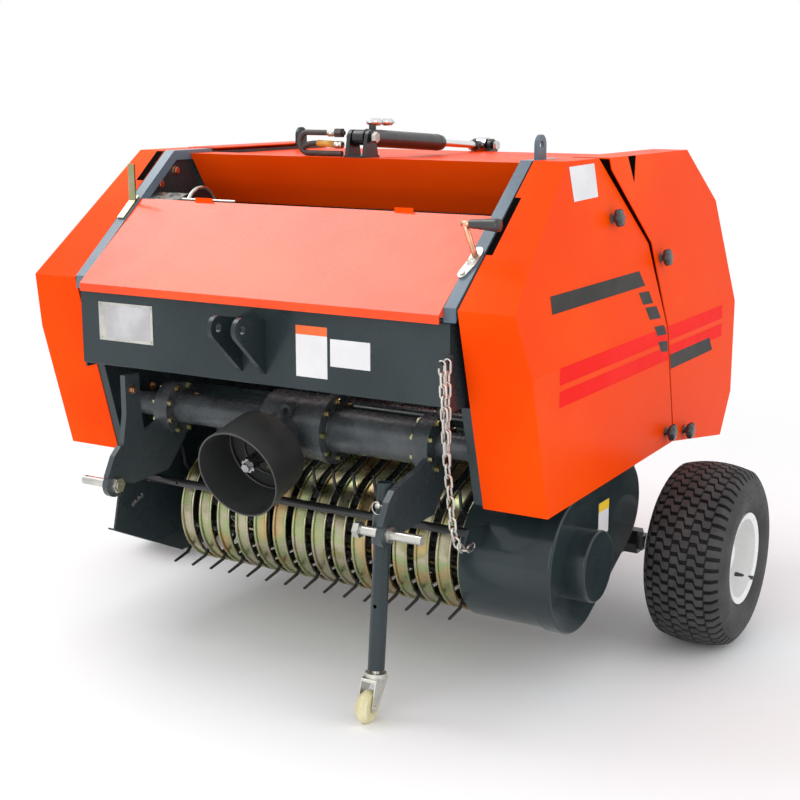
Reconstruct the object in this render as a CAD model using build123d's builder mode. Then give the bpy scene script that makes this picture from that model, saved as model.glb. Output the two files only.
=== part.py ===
"""Small drawn round baler: fixed frame, opening rear gate, pickup, side covers and support leg.

Lengths are millimetres. X points to the right seen from the front, Y to the rear, Z up from the floor.
A station is a distance behind the nose, the front upper corner of the side covers.
"""
from build123d import *
import math
import os

os.makedirs("parts", exist_ok=True)

# Side outline of the covers: stations and heights of its corners
nose_z = 918.0          # front upper corner, station 0
toe_s = 127.0           # front lower corner
hem_z = 462.0           # lower edge of the front covers
brow_s = 349.0          # where the slope meets the roof
roof_z = 1209.0
ridge_s = 1077.0        # rear end of the roof
bevel_s = 1265.0
bevel_z = 1066.0
tail_s = 1348.5         # rearmost edge
fold_z = 782.0          # the outer face leans in above this line
tail_low_z = 523.0
heel_s = 1273.0
heel_z = 410.0
split_s = (528.0, 760.0, 873.0, 880.0)   # line between front body and gate, stations
split_z = (roof_z, 995.0, 533.0, 473.0)  # and heights, from the roof down

# Widths, measured from the middle of the machine
cover_in = 528.0        # inner edge of the covers
cover_out = 683.5       # outer face at and below the fold
cover_top = 607.5       # outer face of the front cover at the roof
gate_cover_top = 622.0  # outer face of the rear cover at the roof
sheet = 3.0             # wall of covers, hood and panels
split_gap = 8.0         # open joint between front and rear covers

# Main side plates of the front body, and of the gate just outside them
plate_in = 505.0
plate_t = 6.0
plate_gap = 6.0         # between a front plate and the gate plate beside it
gate_in = plate_in + plate_t + plate_gap
gate_t = 5.0

# Gate hinge
hinge_s = 536.0
hinge_z = 1178.0
hinge_r = 12.0
hinge_eye_r = 26.0
pin_play = 0.4          # clearance of a turning pin or shaft in its bore
run_gap = 6.0           # clearance of a moving piece from a fixed one

# Wheels
axle_s = 774.0
tyre_r = 228.7
tyre_w = 206.0
rim_r = 102.0
rim_flange_r = 114.0
rim_w = 178.0
wheel_out = 932.0       # outer face of the tyres
spindle_r = 15.0
axle_bar = 36.0
hub_r = 42.0
leg_x = 592.0           # inner face of the plates that carry the axle
leg_t = 12.0

# Support leg and its caster
arm_out = 393.0         # outer face of the hitch arms
arm_t = 15.0
lower_pin_s = -53.0     # lower hitch pins
lower_pin_z = 430.0
lower_pin_r = 11.0
stand_r = 19.0
stand_wall = 3.0
sleeve_wall = 5.0
sleeve_play = 0.4
stand_lean = 5.5        # the leg leans forward towards the floor, degrees
stand_s = -15.0         # station of the leg's axis at height stand_mid_z
stand_mid_z = 430.0
stand_top_z = 530.0
stand_low_z = 112.0
caster_r = 37.5
caster_w = 30.0
caster_trail = 30.0

# Drive
gear_s = 178.0
gear_z = 580.0
pto_tilt = 16.0         # the input shaft points down towards the tractor, degrees
pto_mouth = 254.0       # from the gearbox centre to the mouth of the shield
pto_shield_r = 108.0
pto_shield_len = 122.0
pto_shield_wall = 4.0
pto_r = 17.5

# Pickup
pickup_s = 336.0
pickup_z = 300.0
band_r = 150.0
band_w = 38.0
band_t = 3.0
band_pitch = 57.7
band_count = 15
band_left = -374.0      # left edge of the first band
tine_tip_r = 214.0
tine_r = 3.0
tine_bars = 4
tine_bar_pcd = 82.0

# Bale chamber
chamber_s = 734.0
chamber_z = 800.0
chamber_r = 330.0       # to the roller axes
roller_r = 48.0
roller_rib = 6.0

# Roof cylinder that opens the gate
cyl_x = 8.0
cyl_base_s = 456.0
cyl_base_z = 1248.0
cyl_eye_s = 1106.0
cyl_eye_z = 1207.0
cyl_rod_r = 10.0
cyl_pin_r = 9.0
cyl_barrel_r = 22.0
cyl_eye_r = 19.0
cyl_eye_w = 30.0
cyl_drift = 4.8         # the rod's eye wanders this far from its pin while the gate opens
ear_t = 10.0
ear_gap = 5.0           # between an eye and the ear beside it

deck_z = roof_z - 9.0   # top sheets between the rails
gate_deck_z = deck_z - 8.0

# The caster is the foremost piece, and the origin lies midway between it and the tail
lean = math.radians(stand_lean)
stand_foot_s = stand_s - (stand_mid_z - caster_r) * math.tan(lean)
caster_s = stand_foot_s - caster_trail
caster_front = caster_s - caster_r
nose_y = -(tail_s + caster_front) / 2


def side(x):
    """Vertical plane at x, seen from the right: u is the station and v the height."""
    return Plane(origin=(x, nose_y, 0), x_dir=(0, 1, 0), z_dir=(1, 0, 0))


def front(s):
    """Vertical plane at a station, seen from the front: u is x and v the height."""
    return Plane(origin=(0, nose_y + s, 0), x_dir=(1, 0, 0), z_dir=(0, -1, 0))


def keep(builder, name):
    builder.part.label = name
    export_step(builder.part, f"parts/{name}.step")


def front_edge_s(z):
    """Station of the covers' front face at a height below the nose."""
    return toe_s * (nose_z - z) / (nose_z - hem_z)


hands = (("right", 1), ("left", -1))
split = list(zip(split_s, split_z))

# Front body side plates, with a flange along the front edge and the stub that the gate turns on
plate_low_z = 405.0
rail_deep = 24.0
rail_rise = math.atan2(roof_z - nose_z - 5.0, brow_s)
hinge_line_gap = 0.4    # between a cover's inner edge and the flange it swings on
flange_w = cover_in - plate_in - hinge_line_gap
flange_t = 6.0
beam_t = 6.0
rail_low_nose_z = nose_z + 5.0 - rail_deep / math.cos(rail_rise)
rail_low_s = brow_s + 8.0
beam_top_z = rail_low_nose_z - 0.5
front_plate = [
    (beam_t, beam_top_z),
    (0.5, rail_low_nose_z),
    (rail_low_s, roof_z - rail_deep),
    (hinge_s - hinge_eye_r, roof_z - rail_deep),
    (hinge_s + hinge_eye_r, hinge_z + hinge_r),
    (hinge_s + hinge_eye_r, hinge_z - hinge_eye_r),
    (split_s[1] - 14.0, split_z[1] - 8.0),
    (split_s[2] - 14.0, split_z[2]),
    (split_s[3] - 14.0, plate_low_z),
    (540.0, plate_low_z),
    (500.0, 470.0),
    (front_edge_s(470.0) + 8.0, 470.0),
    (front_edge_s(700.0) + 8.0, 700.0),
    (beam_t, 700.0),
]

for hand, sign in hands:
    with BuildPart() as side_plate:
        with BuildSketch(side(plate_in)):
            Polygon(*front_plate, align=None)
        extrude(amount=plate_t)
        with BuildSketch(side(plate_in)):
            Polygon(
                (front_edge_s(700.0) + 2.0, 700.0),
                (front_edge_s(470.0) + 2.0, 470.0),
                (front_edge_s(470.0) + 2.0 + flange_t, 470.0),
                (front_edge_s(700.0) + 2.0 + flange_t, 700.0),
                align=None,
            )
        extrude(amount=flange_w)
        with BuildSketch(side(plate_in)):
            with Locations((hinge_s, hinge_z)):
                Circle(hinge_r)
        extrude(amount=plate_t + plate_gap + gate_t + 3.0)
        if sign < 0:
            mirror(about=Plane.YZ, mode=Mode.REPLACE)
    keep(side_plate, f"side_plate_{hand}")

# Rails on top of the plates: up the slope, then level to the hinge
rail_in = 495.0
rail_w = 29.0
lug_s = 424.0
lug_t = 8.0
lug_r = 24.0
lug_hole_r = 10.0
lug_rise = 31.0


def lifting_lug(x, s, base_z):
    """Upright plate with a round head and an eye, added to the part in hand."""
    with BuildSketch(side(x)) as head:
        with Locations((s, base_z + lug_rise)):
            Circle(lug_r)
        with Locations((s, base_z + lug_rise / 2)):
            Rectangle(2 * lug_r, lug_rise)
        with Locations((s, base_z + lug_rise)):
            Circle(lug_hole_r, mode=Mode.SUBTRACT)
    extrude(head.sketch, amount=lug_t)


rail_back = hinge_s - hinge_eye_r - run_gap
for hand, sign in hands:
    with BuildPart() as rail:
        with BuildSketch(side(rail_in)):
            Polygon(
                (0.0, nose_z + 5.0),
                (brow_s, roof_z),
                (rail_back, roof_z),
                (rail_back, roof_z - rail_deep),
                (rail_low_s, roof_z - rail_deep),
                (0.0, rail_low_nose_z),
                align=None,
            )
        extrude(amount=rail_w)
        if sign > 0:
            lifting_lug(plate_in - 1.0, lug_s, roof_z)
        else:
            mirror(about=Plane.YZ, mode=Mode.REPLACE)
    keep(rail, f"rail_{hand}")

# Front beam: a folded channel across the nose, with the hook of the pickup's chain at its right end
chain_x = 513.0
chain_hook_z = 812.0
chain_hook_r = 3.5
beam_low_z = 710.0
beam_deep = 58.0
beam_half = plate_in + plate_t
with BuildPart() as front_beam:
    with BuildSketch(side(-beam_half)):
        Polygon(
            (0.0, beam_low_z),
            (0.0, beam_top_z),
            (beam_deep, beam_top_z),
            (beam_deep, beam_top_z - beam_t),
            (beam_t, beam_top_z - beam_t),
            (beam_t, beam_low_z + beam_t),
            (beam_deep, beam_low_z + beam_t),
            (beam_deep, beam_low_z),
            align=None,
        )
    extrude(amount=2 * beam_half)
    fillet(front_beam.edges().filter_by(Axis.X).group_by(Axis.Y)[0], 3.0)
    with BuildSketch(side(-beam_half)):
        with Locations((beam_t, beam_low_z - 1.0)):
            Rectangle(beam_deep, beam_top_z - beam_low_z + 2.0, align=(Align.MIN, Align.MIN))
    extrude(amount=plate_t, mode=Mode.SUBTRACT)
    with BuildSketch(side(plate_in)):
        with Locations((beam_t, beam_low_z - 1.0)):
            Rectangle(beam_deep, beam_top_z - beam_low_z + 2.0, align=(Align.MIN, Align.MIN))
    extrude(amount=plate_t, mode=Mode.SUBTRACT)
    with BuildSketch(front(0)):
        with Locations((chain_x, chain_hook_z)):
            Rectangle(12.0, 26.0)
    extrude(amount=4.0)
    with BuildSketch(front(0)):
        with Locations((chain_x, chain_hook_z)):
            Circle(chain_hook_r)
    extrude(amount=50.0)
    with BuildSketch(front(-50.0)):
        with Locations((chain_x, chain_hook_z)):
            Circle(2 * chain_hook_r)
    extrude(amount=3.0)
keep(front_beam, "front_beam")

# Top link clevis: two ears that rise forward from the beam
ear_in = 27.0
clevis_t = 12.0
clevis_s = -84.0
clevis_z = 848.0
clevis_r = 27.0
clevis_hole_r = 10.0
with BuildPart() as top_clevis:
    for x in (ear_in, -ear_in - clevis_t):
        with BuildSketch(side(x)):
            with Locations((clevis_s, clevis_z)):
                Circle(clevis_r)
            with Locations((-1.5, 738.0), (-1.5, 858.0)):
                Circle(1.5)
            make_hull()
            with Locations((clevis_s, clevis_z)):
                Circle(clevis_hole_r, mode=Mode.SUBTRACT)
        extrude(amount=clevis_t)
keep(top_clevis, "top_clevis")

# Gearbox: cast housing with an axle tube to each side, bolted flanges and the input nose
tube_left_r = 38.0
tube_right_r = 52.0
flange_r = 66.0
flange_len = 26.0
tube_end = arm_out - arm_t - flange_len
casing_r = 78.0
casing_left = -62.0
casing_right = 92.0
ring_r = 82.0
ring_len = 22.0
bearing_tube_r = 30.0
nose_r = 58.0
nose_len = pto_mouth - pto_shield_len
input_dir = (0.0, -math.cos(math.radians(pto_tilt)), -math.sin(math.radians(pto_tilt)))


def input_plane(distance):
    """Plane square to the input shaft at a distance from the gearbox centre, facing the tractor."""
    return Plane(
        origin=(
            input_dir[0] * distance,
            nose_y + gear_s + input_dir[1] * distance,
            gear_z + input_dir[2] * distance,
        ),
        x_dir=(1, 0, 0),
        z_dir=input_dir,
    )


def bar_x(x0, x1, s, z, r):
    """Round bar along X, added to the part in hand."""
    with BuildSketch(side(x0)) as disc:
        with Locations((s, z)):
            Circle(r)
    extrude(disc.sketch, amount=x1 - x0)


with BuildPart() as gearbox:
    for x0, x1, r in (
        (-plate_in, -tube_end - flange_len, bearing_tube_r),
        (-tube_end - flange_len, -tube_end, flange_r),
        (-tube_end, casing_left, tube_left_r),
        (casing_left, casing_right, casing_r),
        (casing_right, casing_right + ring_len, ring_r),
        (casing_right + ring_len, tube_end, tube_right_r),
        (tube_end, tube_end + flange_len, flange_r),
        (tube_end + flange_len, plate_in, bearing_tube_r),
    ):
        bar_x(x0, x1, gear_s, gear_z, r)
    with BuildSketch(input_plane(0)):
        Circle(casing_r - 6.0)
    with BuildSketch(input_plane(nose_len - 18.0)):
        Circle(nose_r - 8.0)
    loft()
    with BuildSketch(input_plane(nose_len - 18.0)):
        Circle(nose_r)
    extrude(amount=18.0)
    with BuildSketch(front(gear_s - casing_r + 2.0)):
        with Locations((18.0, gear_z + 48.0)):
            Circle(17.0)
            Circle(8.0, mode=Mode.SUBTRACT)
    extrude(amount=-40.0)
    fillet(gearbox.edges().filter_by(GeomType.CIRCLE).sort_by(Axis.X)[-6:-5], 2.0)
keep(gearbox, "gearbox")

# Input shaft shield: an open cup with a floor round the shaft
with BuildPart() as pto_shield:
    with BuildSketch(input_plane(nose_len)):
        Circle(pto_shield_r - 6.0)
    with BuildSketch(input_plane(nose_len + pto_shield_len)):
        Circle(pto_shield_r)
    loft()
    with BuildSketch(input_plane(nose_len + pto_shield_wall)):
        Circle(pto_shield_r - 6.0 - pto_shield_wall)
    with BuildSketch(input_plane(nose_len + pto_shield_len)):
        Circle(pto_shield_r - pto_shield_wall)
    loft(mode=Mode.SUBTRACT)
    with BuildSketch(input_plane(nose_len)):
        Circle(pto_r + run_gap)
    extrude(amount=pto_shield_wall, mode=Mode.SUBTRACT)
keep(pto_shield, "pto_shield")

# Input shaft: collar, six splines and the hexagon of the end bolt
spline_len = 78.0
spline_deep = 3.0
shaft_start = nose_len + pin_play
with BuildPart() as pto_shaft:
    with BuildSketch(input_plane(shaft_start)):
        Circle(pto_r)
        with PolarLocations(pto_r, 6):
            Rectangle(2 * spline_deep, 8.0, mode=Mode.SUBTRACT)
    extrude(amount=spline_len)
    with BuildSketch(input_plane(shaft_start + spline_len)):
        RegularPolygon(11.0, 6)
    extrude(amount=12.0)
keep(pto_shaft, "pto_shaft")

# Hitch arms: plates from the front flanges down to the lower pins. The left one has a strap to the beam
arm_front = [
    (-78.0, 452.0),
    (-52.0, 500.0),
    (-28.0, 521.0),
    (96.0, 548.0),
    (gear_s + 40.0, 600.0),
    (gear_s + 84.0, 560.0),
    (214.0, 494.0),
    (146.0, 424.0),
    (10.0, 418.0),
]
arm_eye_r = 30.0
strap_top_z = 690.0
sleeve_low_z = 395.0
sleeve_top_z = 462.0
stand_dir = (0.0, math.sin(lean), math.cos(lean))
stand_x = arm_out - arm_t - sleeve_wall / 2 - sleeve_play - stand_r


def stand_plane(z):
    """Plane square to the leaning support leg, where its axis passes a height."""
    return Plane(
        origin=(stand_x, nose_y + stand_s + (z - stand_mid_z) * math.tan(lean), z),
        x_dir=(1, 0, 0),
        z_dir=stand_dir,
    )


for hand, sign in hands:
    with BuildPart() as hitch_arm:
        with BuildSketch(side(arm_out - arm_t)):
            Polygon(*arm_front, align=None)
            with Locations((lower_pin_s, lower_pin_z)):
                Circle(arm_eye_r)
            with Locations((gear_s, gear_z)):
                Circle(flange_r)
            if sign < 0:
                Polygon((-22.0, 505.0), (-4.0, 595.0), (-4.0, strap_top_z), (46.0, strap_top_z),
                        (50.0, 600.0), (60.0, 530.0), align=None)
            with Locations((lower_pin_s, lower_pin_z)):
                Circle(lower_pin_r, mode=Mode.SUBTRACT)
            with Locations((gear_s, gear_z)):
                Circle(bearing_tube_r, mode=Mode.SUBTRACT)
        extrude(amount=arm_t)
        if sign > 0:
            with BuildSketch(stand_plane(sleeve_low_z)):
                Circle(stand_r + sleeve_play + sleeve_wall)
            extrude(amount=sleeve_top_z - sleeve_low_z)
            with BuildSketch(stand_plane(sleeve_low_z)):
                Circle(stand_r + sleeve_play)
            extrude(amount=sleeve_top_z - sleeve_low_z, mode=Mode.SUBTRACT)
        else:
            mirror(about=Plane.YZ, mode=Mode.REPLACE)
    keep(hitch_arm, f"hitch_arm_{hand}")

# Lower hitch pins: shouldered, with a cross hole for the linch pin and a nut inside the arm
pin_shoulder_r = 18.0
pin_shoulder_len = 8.0
pin_free_len = 76.0
pin_linch_r = 5.0
nut_right_x = stand_x - stand_r - sleeve_wall - 8.0
with BuildPart() as hitch_pins:
    for sign, inner in ((1, nut_right_x), (-1, -(arm_out - arm_t - 0.3))):
        outer = sign * (arm_out + 0.3)
        reach = sign * (pin_shoulder_len + pin_free_len)
        bar_x(outer, outer + sign * pin_shoulder_len, lower_pin_s, lower_pin_z, pin_shoulder_r)
        bar_x(outer, outer + reach, lower_pin_s, lower_pin_z, lower_pin_r)
        bar_x(outer, inner - sign * 16.0, lower_pin_s, lower_pin_z, lower_pin_r - 0.3)
        with BuildSketch(side(inner)):
            with Locations((lower_pin_s, lower_pin_z)):
                RegularPolygon(19.0, 6)
        extrude(amount=-sign * 14.0)
        with Locations((outer + reach - sign * 12.0, nose_y + lower_pin_s, lower_pin_z)):
            Cylinder(pin_linch_r, 2 * lower_pin_r + 2.0, mode=Mode.SUBTRACT)
keep(hitch_pins, "hitch_pins")

# Support leg: an open tube, leaning forward, held in the sleeve by a pin through one of its holes
stand_hole_r = 4.5
stand_len = (stand_top_z - stand_low_z) / math.cos(lean)
with BuildPart() as support_leg:
    with BuildSketch(stand_plane(stand_low_z)):
        Circle(stand_r)
    extrude(amount=stand_len)
    with BuildSketch(stand_plane(stand_low_z + 14.0)):
        Circle(stand_r - stand_wall)
    extrude(amount=stand_len, mode=Mode.SUBTRACT)
    for z in (257.0, 484.0):
        with Locations(stand_plane(z).rotated((90, 0, 0))):
            Cylinder(stand_hole_r, 3 * stand_r, mode=Mode.SUBTRACT)
keep(support_leg, "support_leg")

# Caster: turning head and fork, then the wheel
fork_t = 3.0
fork_gap = 2.0
fork_half = caster_w / 2 + fork_gap
caster_axle_r = 5.0
head_z = stand_low_z - 16.0
with BuildPart() as caster_fork:
    with BuildSketch(stand_plane(head_z)):
        Circle(24.0)
    extrude(amount=9.0)
    with BuildSketch(stand_plane(head_z)):
        Circle(9.0)
    extrude(amount=(stand_low_z - head_z) / math.cos(lean) - pin_play)
    with BuildSketch(side(stand_x - fork_half - fork_t)):
        with Locations((caster_s, caster_r)):
            Circle(11.0)
        with Locations((stand_foot_s + 18.0, head_z - 4.0), (stand_foot_s - 20.0, head_z - 4.0)):
            Circle(6.0)
        make_hull()
    extrude(amount=2 * (fork_half + fork_t))
    with BuildSketch(side(stand_x - fork_half)):
        with Locations((caster_s - 60.0, -20.0)):
            Rectangle(160.0, 20.0 + head_z - 1.0 - fork_t, align=(Align.MIN, Align.MIN))
    extrude(amount=2 * fork_half, mode=Mode.SUBTRACT)
    bar_x(stand_x - fork_half - fork_t - 4.0, stand_x + fork_half + fork_t + 4.0, caster_s, caster_r,
          caster_axle_r)
keep(caster_fork, "caster_fork")

with BuildPart() as caster_wheel:
    with BuildSketch(Plane(origin=(stand_x, nose_y + caster_s, caster_r), x_dir=(0, 1, 0),
                           z_dir=(0, 0, 1))):
        with BuildLine():
            Polyline(
                (caster_axle_r + pin_play, -caster_w / 2),
                (caster_r - 9.0, -caster_w / 2),
                (caster_r - 6.0, -caster_w / 2 + 4.0),
            )
            ThreePointArc((caster_r - 6.0, -caster_w / 2 + 4.0), (caster_r, 0),
                          (caster_r - 6.0, caster_w / 2 - 4.0))
            Polyline(
                (caster_r - 6.0, caster_w / 2 - 4.0),
                (caster_r - 9.0, caster_w / 2),
                (caster_axle_r + pin_play, caster_w / 2),
                (caster_axle_r + pin_play, -caster_w / 2),
            )
        make_face()
    revolve(axis=Axis((stand_x, nose_y + caster_s, caster_r), (1, 0, 0)))
keep(caster_wheel, "caster_wheel")

# Hood: sloping sheet between the rails with a folded lip over the beam
hood_half = rail_in - 0.3
hood_low = (-20.0, 909.0)
hood_high = (216.0, 1095.0)
hood_lip = 19.0
with BuildPart() as hood:
    with BuildSketch(side(-hood_half)):
        Polygon(
            hood_low,
            hood_high,
            (hood_high[0] + sheet, hood_high[1] - sheet),
            (hood_low[0] + sheet, hood_low[1] - 1.2 * sheet),
            (hood_low[0] + sheet, hood_low[1] - hood_lip),
            (hood_low[0], hood_low[1] - hood_lip),
            align=None,
        )
    extrude(amount=2 * hood_half)
    for x in (-hood_half, hood_half - sheet):
        with BuildSketch(side(x)):
            Polygon(
                (hood_low[0] + sheet, hood_low[1] - 1.2 * sheet),
                (hood_high[0], hood_high[1] - sheet),
                (hood_high[0], hood_high[1] - 26.0),
                (hood_low[0] + 32.0, hood_low[1] - 8.0),
                align=None,
            )
        extrude(amount=sheet)
keep(hood, "hood")

# Top panel: the deck behind the opening and the face that leans back below it
panel_top_s = 413.0
panel_low_s = 499.0
panel_low_z = 1071.0
panel_half = rail_in - 0.3
deck_back = hinge_s - hinge_eye_r - run_gap
with BuildPart() as top_panel:
    with BuildSketch(side(-panel_half)):
        Polygon(
            (panel_low_s, panel_low_z),
            (panel_top_s, deck_z),
            (deck_back, deck_z),
            (deck_back, deck_z - sheet),
            (panel_top_s + 1.4 * sheet, deck_z - sheet),
            (panel_low_s + sheet, panel_low_z + 0.6 * sheet),
            align=None,
        )
    extrude(amount=2 * panel_half)
keep(top_panel, "top_panel")

# Cross members of the front body: one behind the hood, one above the feed throat
cross_r = 20.0
with BuildPart() as cross_tubes:
    for s, z in ((236.0, 1040.0), (420.0, 1046.0), (330.0, 590.0)):
        bar_x(-plate_in, plate_in, s, z, cross_r)
keep(cross_tubes, "cross_tubes")

# Axle: square bar with round spindles, hung from the side plates by two legs
leg_top_z = 600.0
leg_top_w = 150.0
leg_low_w = 70.0
leg_post_r = 24.0
spindle_end = wheel_out - 48.0
with BuildPart() as axle:
    with BuildSketch(side(-leg_x - 70.0)):
        with Locations((axle_s, tyre_r)):
            Rectangle(axle_bar, axle_bar)
    extrude(amount=2 * (leg_x + 70.0))
    for sign in (1, -1):
        bar_x(sign * (leg_x + 70.0), sign * spindle_end, axle_s, tyre_r, spindle_r)
        with BuildSketch(side(sign * leg_x)):
            Polygon(
                (axle_s - leg_low_w / 2, tyre_r - axle_bar),
                (axle_s + leg_low_w / 2, tyre_r - axle_bar),
                (axle_s + leg_top_w / 2, leg_top_z),
                (axle_s - leg_top_w / 2, leg_top_z),
                align=None,
            )
        extrude(amount=sign * leg_t)
        for z in (leg_top_z - 50.0, 470.0):
            bar_x(sign * (plate_in + plate_t), sign * leg_x, axle_s, z, leg_post_r)
        with BuildSketch(side(sign * (leg_x + leg_t))):
            with Locations((axle_s, tyre_r)):
                RegularPolygon(34.0, 6)
        extrude(amount=sign * 44.0)
keep(axle, "axle")

# Wheels: tyre and pressed rim with its hub
hub_in = leg_x + 70.0 + 12.0
tyre_mid = wheel_out - tyre_w / 2
rim_in_x = tyre_mid - rim_w / 2
rim_out_x = tyre_mid + rim_w / 2
rim_wall = 4.0
disc_x = tyre_mid + 18.0
for hand, sign in hands:
    with BuildPart() as tyre:
        with BuildSketch(Plane(origin=(0, nose_y + axle_s, tyre_r), x_dir=(1, 0, 0), z_dir=(0, -1, 0))):
            with BuildLine():
                Polyline(
                    (rim_in_x + 10.0, rim_r + 0.3),
                    (rim_in_x - 2.0, rim_flange_r + 3.0),
                )
                ThreePointArc(
                    (rim_in_x - 2.0, rim_flange_r + 3.0),
                    (tyre_mid - tyre_w / 2, tyre_r - 62.0),
                    (tyre_mid - tyre_w / 2 + 24.0, tyre_r - 12.0),
                )
                ThreePointArc(
                    (tyre_mid - tyre_w / 2 + 24.0, tyre_r - 12.0),
                    (tyre_mid, tyre_r),
                    (tyre_mid + tyre_w / 2 - 24.0, tyre_r - 12.0),
                )
                ThreePointArc(
                    (tyre_mid + tyre_w / 2 - 24.0, tyre_r - 12.0),
                    (tyre_mid + tyre_w / 2, tyre_r - 62.0),
                    (rim_out_x + 2.0, rim_flange_r + 3.0),
                )
                Polyline(
                    (rim_out_x + 2.0, rim_flange_r + 3.0),
                    (rim_out_x - 10.0, rim_r + 0.3),
                    (rim_in_x + 10.0, rim_r + 0.3),
                )
            make_face()
        revolve(axis=Axis((0, nose_y + axle_s, tyre_r), (1, 0, 0)))
        if sign < 0:
            mirror(about=Plane.YZ, mode=Mode.REPLACE)
    keep(tyre, f"tyre_{hand}")
    with BuildPart() as rim:
        with BuildSketch(Plane(origin=(0, nose_y + axle_s, tyre_r), x_dir=(1, 0, 0), z_dir=(0, -1, 0))):
            Polygon(
                (rim_in_x - 4.0, rim_flange_r),
                (rim_in_x, rim_flange_r),
                (rim_in_x + 3.0, rim_r),
                (tyre_mid - 20.0, rim_r - 1.0),
                (tyre_mid - 6.0, rim_r - 14.0),
                (tyre_mid + 20.0, rim_r - 14.0),
                (tyre_mid + 34.0, rim_r - 1.0),
                (rim_out_x - 3.0, rim_r),
                (rim_out_x, rim_flange_r),
                (rim_out_x + 4.0, rim_flange_r),
                (rim_out_x, rim_r - rim_wall),
                (tyre_mid + 36.0, rim_r - rim_wall - 1.0),
                (tyre_mid + 22.0, rim_r - 18.0),
                (disc_x + rim_wall, rim_r - 18.0),
                (disc_x + rim_wall + 14.0, hub_r + 18.0),
                (disc_x + rim_wall, hub_r),
                (disc_x + 38.0, hub_r - 4.0),
                (disc_x + 40.0, 0.0),
                (spindle_end + 1.0, 0.0),
                (spindle_end + 1.0, spindle_r + pin_play),
                (hub_in, spindle_r + pin_play),
                (hub_in, hub_r - 6.0),
                (disc_x - 4.0, hub_r),
                (disc_x, hub_r + 16.0),
                (disc_x, rim_r - 18.0),
                (tyre_mid - 8.0, rim_r - 18.0),
                (tyre_mid - 22.0, rim_r - rim_wall - 1.0),
                (rim_in_x, rim_r - rim_wall),
                align=None,
            )
        revolve(axis=Axis((0, nose_y + axle_s, tyre_r), (1, 0, 0)))
        if sign < 0:
            mirror(about=Plane.YZ, mode=Mode.REPLACE)
    keep(rim, f"rim_{hand}")

# Bale chamber: ribbed rollers between the side plates, the first group in the front body
front_angles = (118.0, 148.0, 178.0, 206.0, 254.0, 281.0)
gate_angles = (-53.0, -26.0, 1.0, 28.0, 55.0, 82.0)
roller_bore_r = 38.0
rib_count = 6
journal_r = 12.0


def ribbed_roller(angle, half):
    """Open tube with straight ribs, on a shaft that reaches into both plates, added to the part in hand."""
    s = chamber_s + chamber_r * math.cos(math.radians(angle))
    z = chamber_z + chamber_r * math.sin(math.radians(angle))
    drum_half = plate_in - run_gap
    with BuildSketch(side(-drum_half)) as drum:
        with Locations((s, z)):
            Circle(roller_r - roller_rib)
            with PolarLocations(roller_r - roller_rib - 0.5, rib_count):
                Rectangle(2 * roller_rib, roller_rib + 2.0)
            Circle(roller_bore_r, mode=Mode.SUBTRACT)
    extrude(drum.sketch, amount=2 * drum_half)
    bar_x(-5.0, 5.0, s, z, roller_bore_r + 1.0)
    bar_x(-half, half, s, z, journal_r)


with BuildPart() as rollers_front:
    for angle in front_angles:
        ribbed_roller(angle, plate_in)
keep(rollers_front, "rollers_front")

with BuildPart() as rollers_gate:
    for angle in gate_angles:
        ribbed_roller(angle, gate_in)
keep(rollers_gate, "rollers_gate")

# Gate: side plates outside the front ones, and a folded shell between them
shell_inset = 12.0
gate_shell_half = plate_in + plate_t + run_gap
gate_outline = [
    (hinge_s - 4.0, deck_z),
    (ridge_s, deck_z),
    (bevel_s - shell_inset, bevel_z),
    (tail_s - shell_inset, fold_z),
    (tail_s - shell_inset, tail_low_z),
    (heel_s - shell_inset, heel_z + shell_inset),
]
gate_split = [
    (split_s[3] + 10.0, 440.0),
    (split_s[2] + split_gap, split_z[2]),
    (split_s[1] + split_gap, split_z[1]),
]
for hand, sign in hands:
    with BuildPart() as gate_plate:
        with BuildSketch(side(gate_in)):
            Polygon(*gate_outline, *gate_split, (hinge_s - 4.0, hinge_z), align=None)
            with Locations((hinge_s, hinge_z)):
                Circle(hinge_eye_r)
                Circle(hinge_r + pin_play, mode=Mode.SUBTRACT)
        extrude(amount=gate_t)
        with BuildSketch(side(gate_in)):
            Polygon((tail_s - shell_inset - 6.0, tail_low_z + 20.0), (tail_s, tail_low_z + 20.0),
                    (tail_s, fold_z - 10.0), (tail_s - shell_inset - 6.0, fold_z - 10.0), align=None)
        extrude(amount=cover_in - hinge_line_gap - gate_in)
        if sign < 0:
            mirror(about=Plane.YZ, mode=Mode.REPLACE)
            lifting_lug(-gate_in - gate_t - 1.0, 958.0, deck_z)
    keep(gate_plate, f"gate_plate_{hand}")

with BuildPart() as gate_shell:
    with BuildSketch(side(-gate_in)):
        with BuildLine():
            shell_line = Polyline(
                (hinge_s + hinge_eye_r + run_gap, gate_deck_z - sheet / 2),
                (ridge_s, gate_deck_z - sheet / 2),
                (bevel_s - shell_inset - sheet, bevel_z - 1.0),
                (tail_s - shell_inset - sheet, fold_z),
                (tail_s - shell_inset - sheet, tail_low_z),
                (heel_s - shell_inset - sheet, heel_z + shell_inset + 2.0),
            )
            offset(shell_line, amount=sheet / 2, side=Side.BOTH, kind=Kind.INTERSECTION)
        make_face()
    extrude(amount=2 * gate_in)
keep(gate_shell, "gate_shell")

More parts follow.
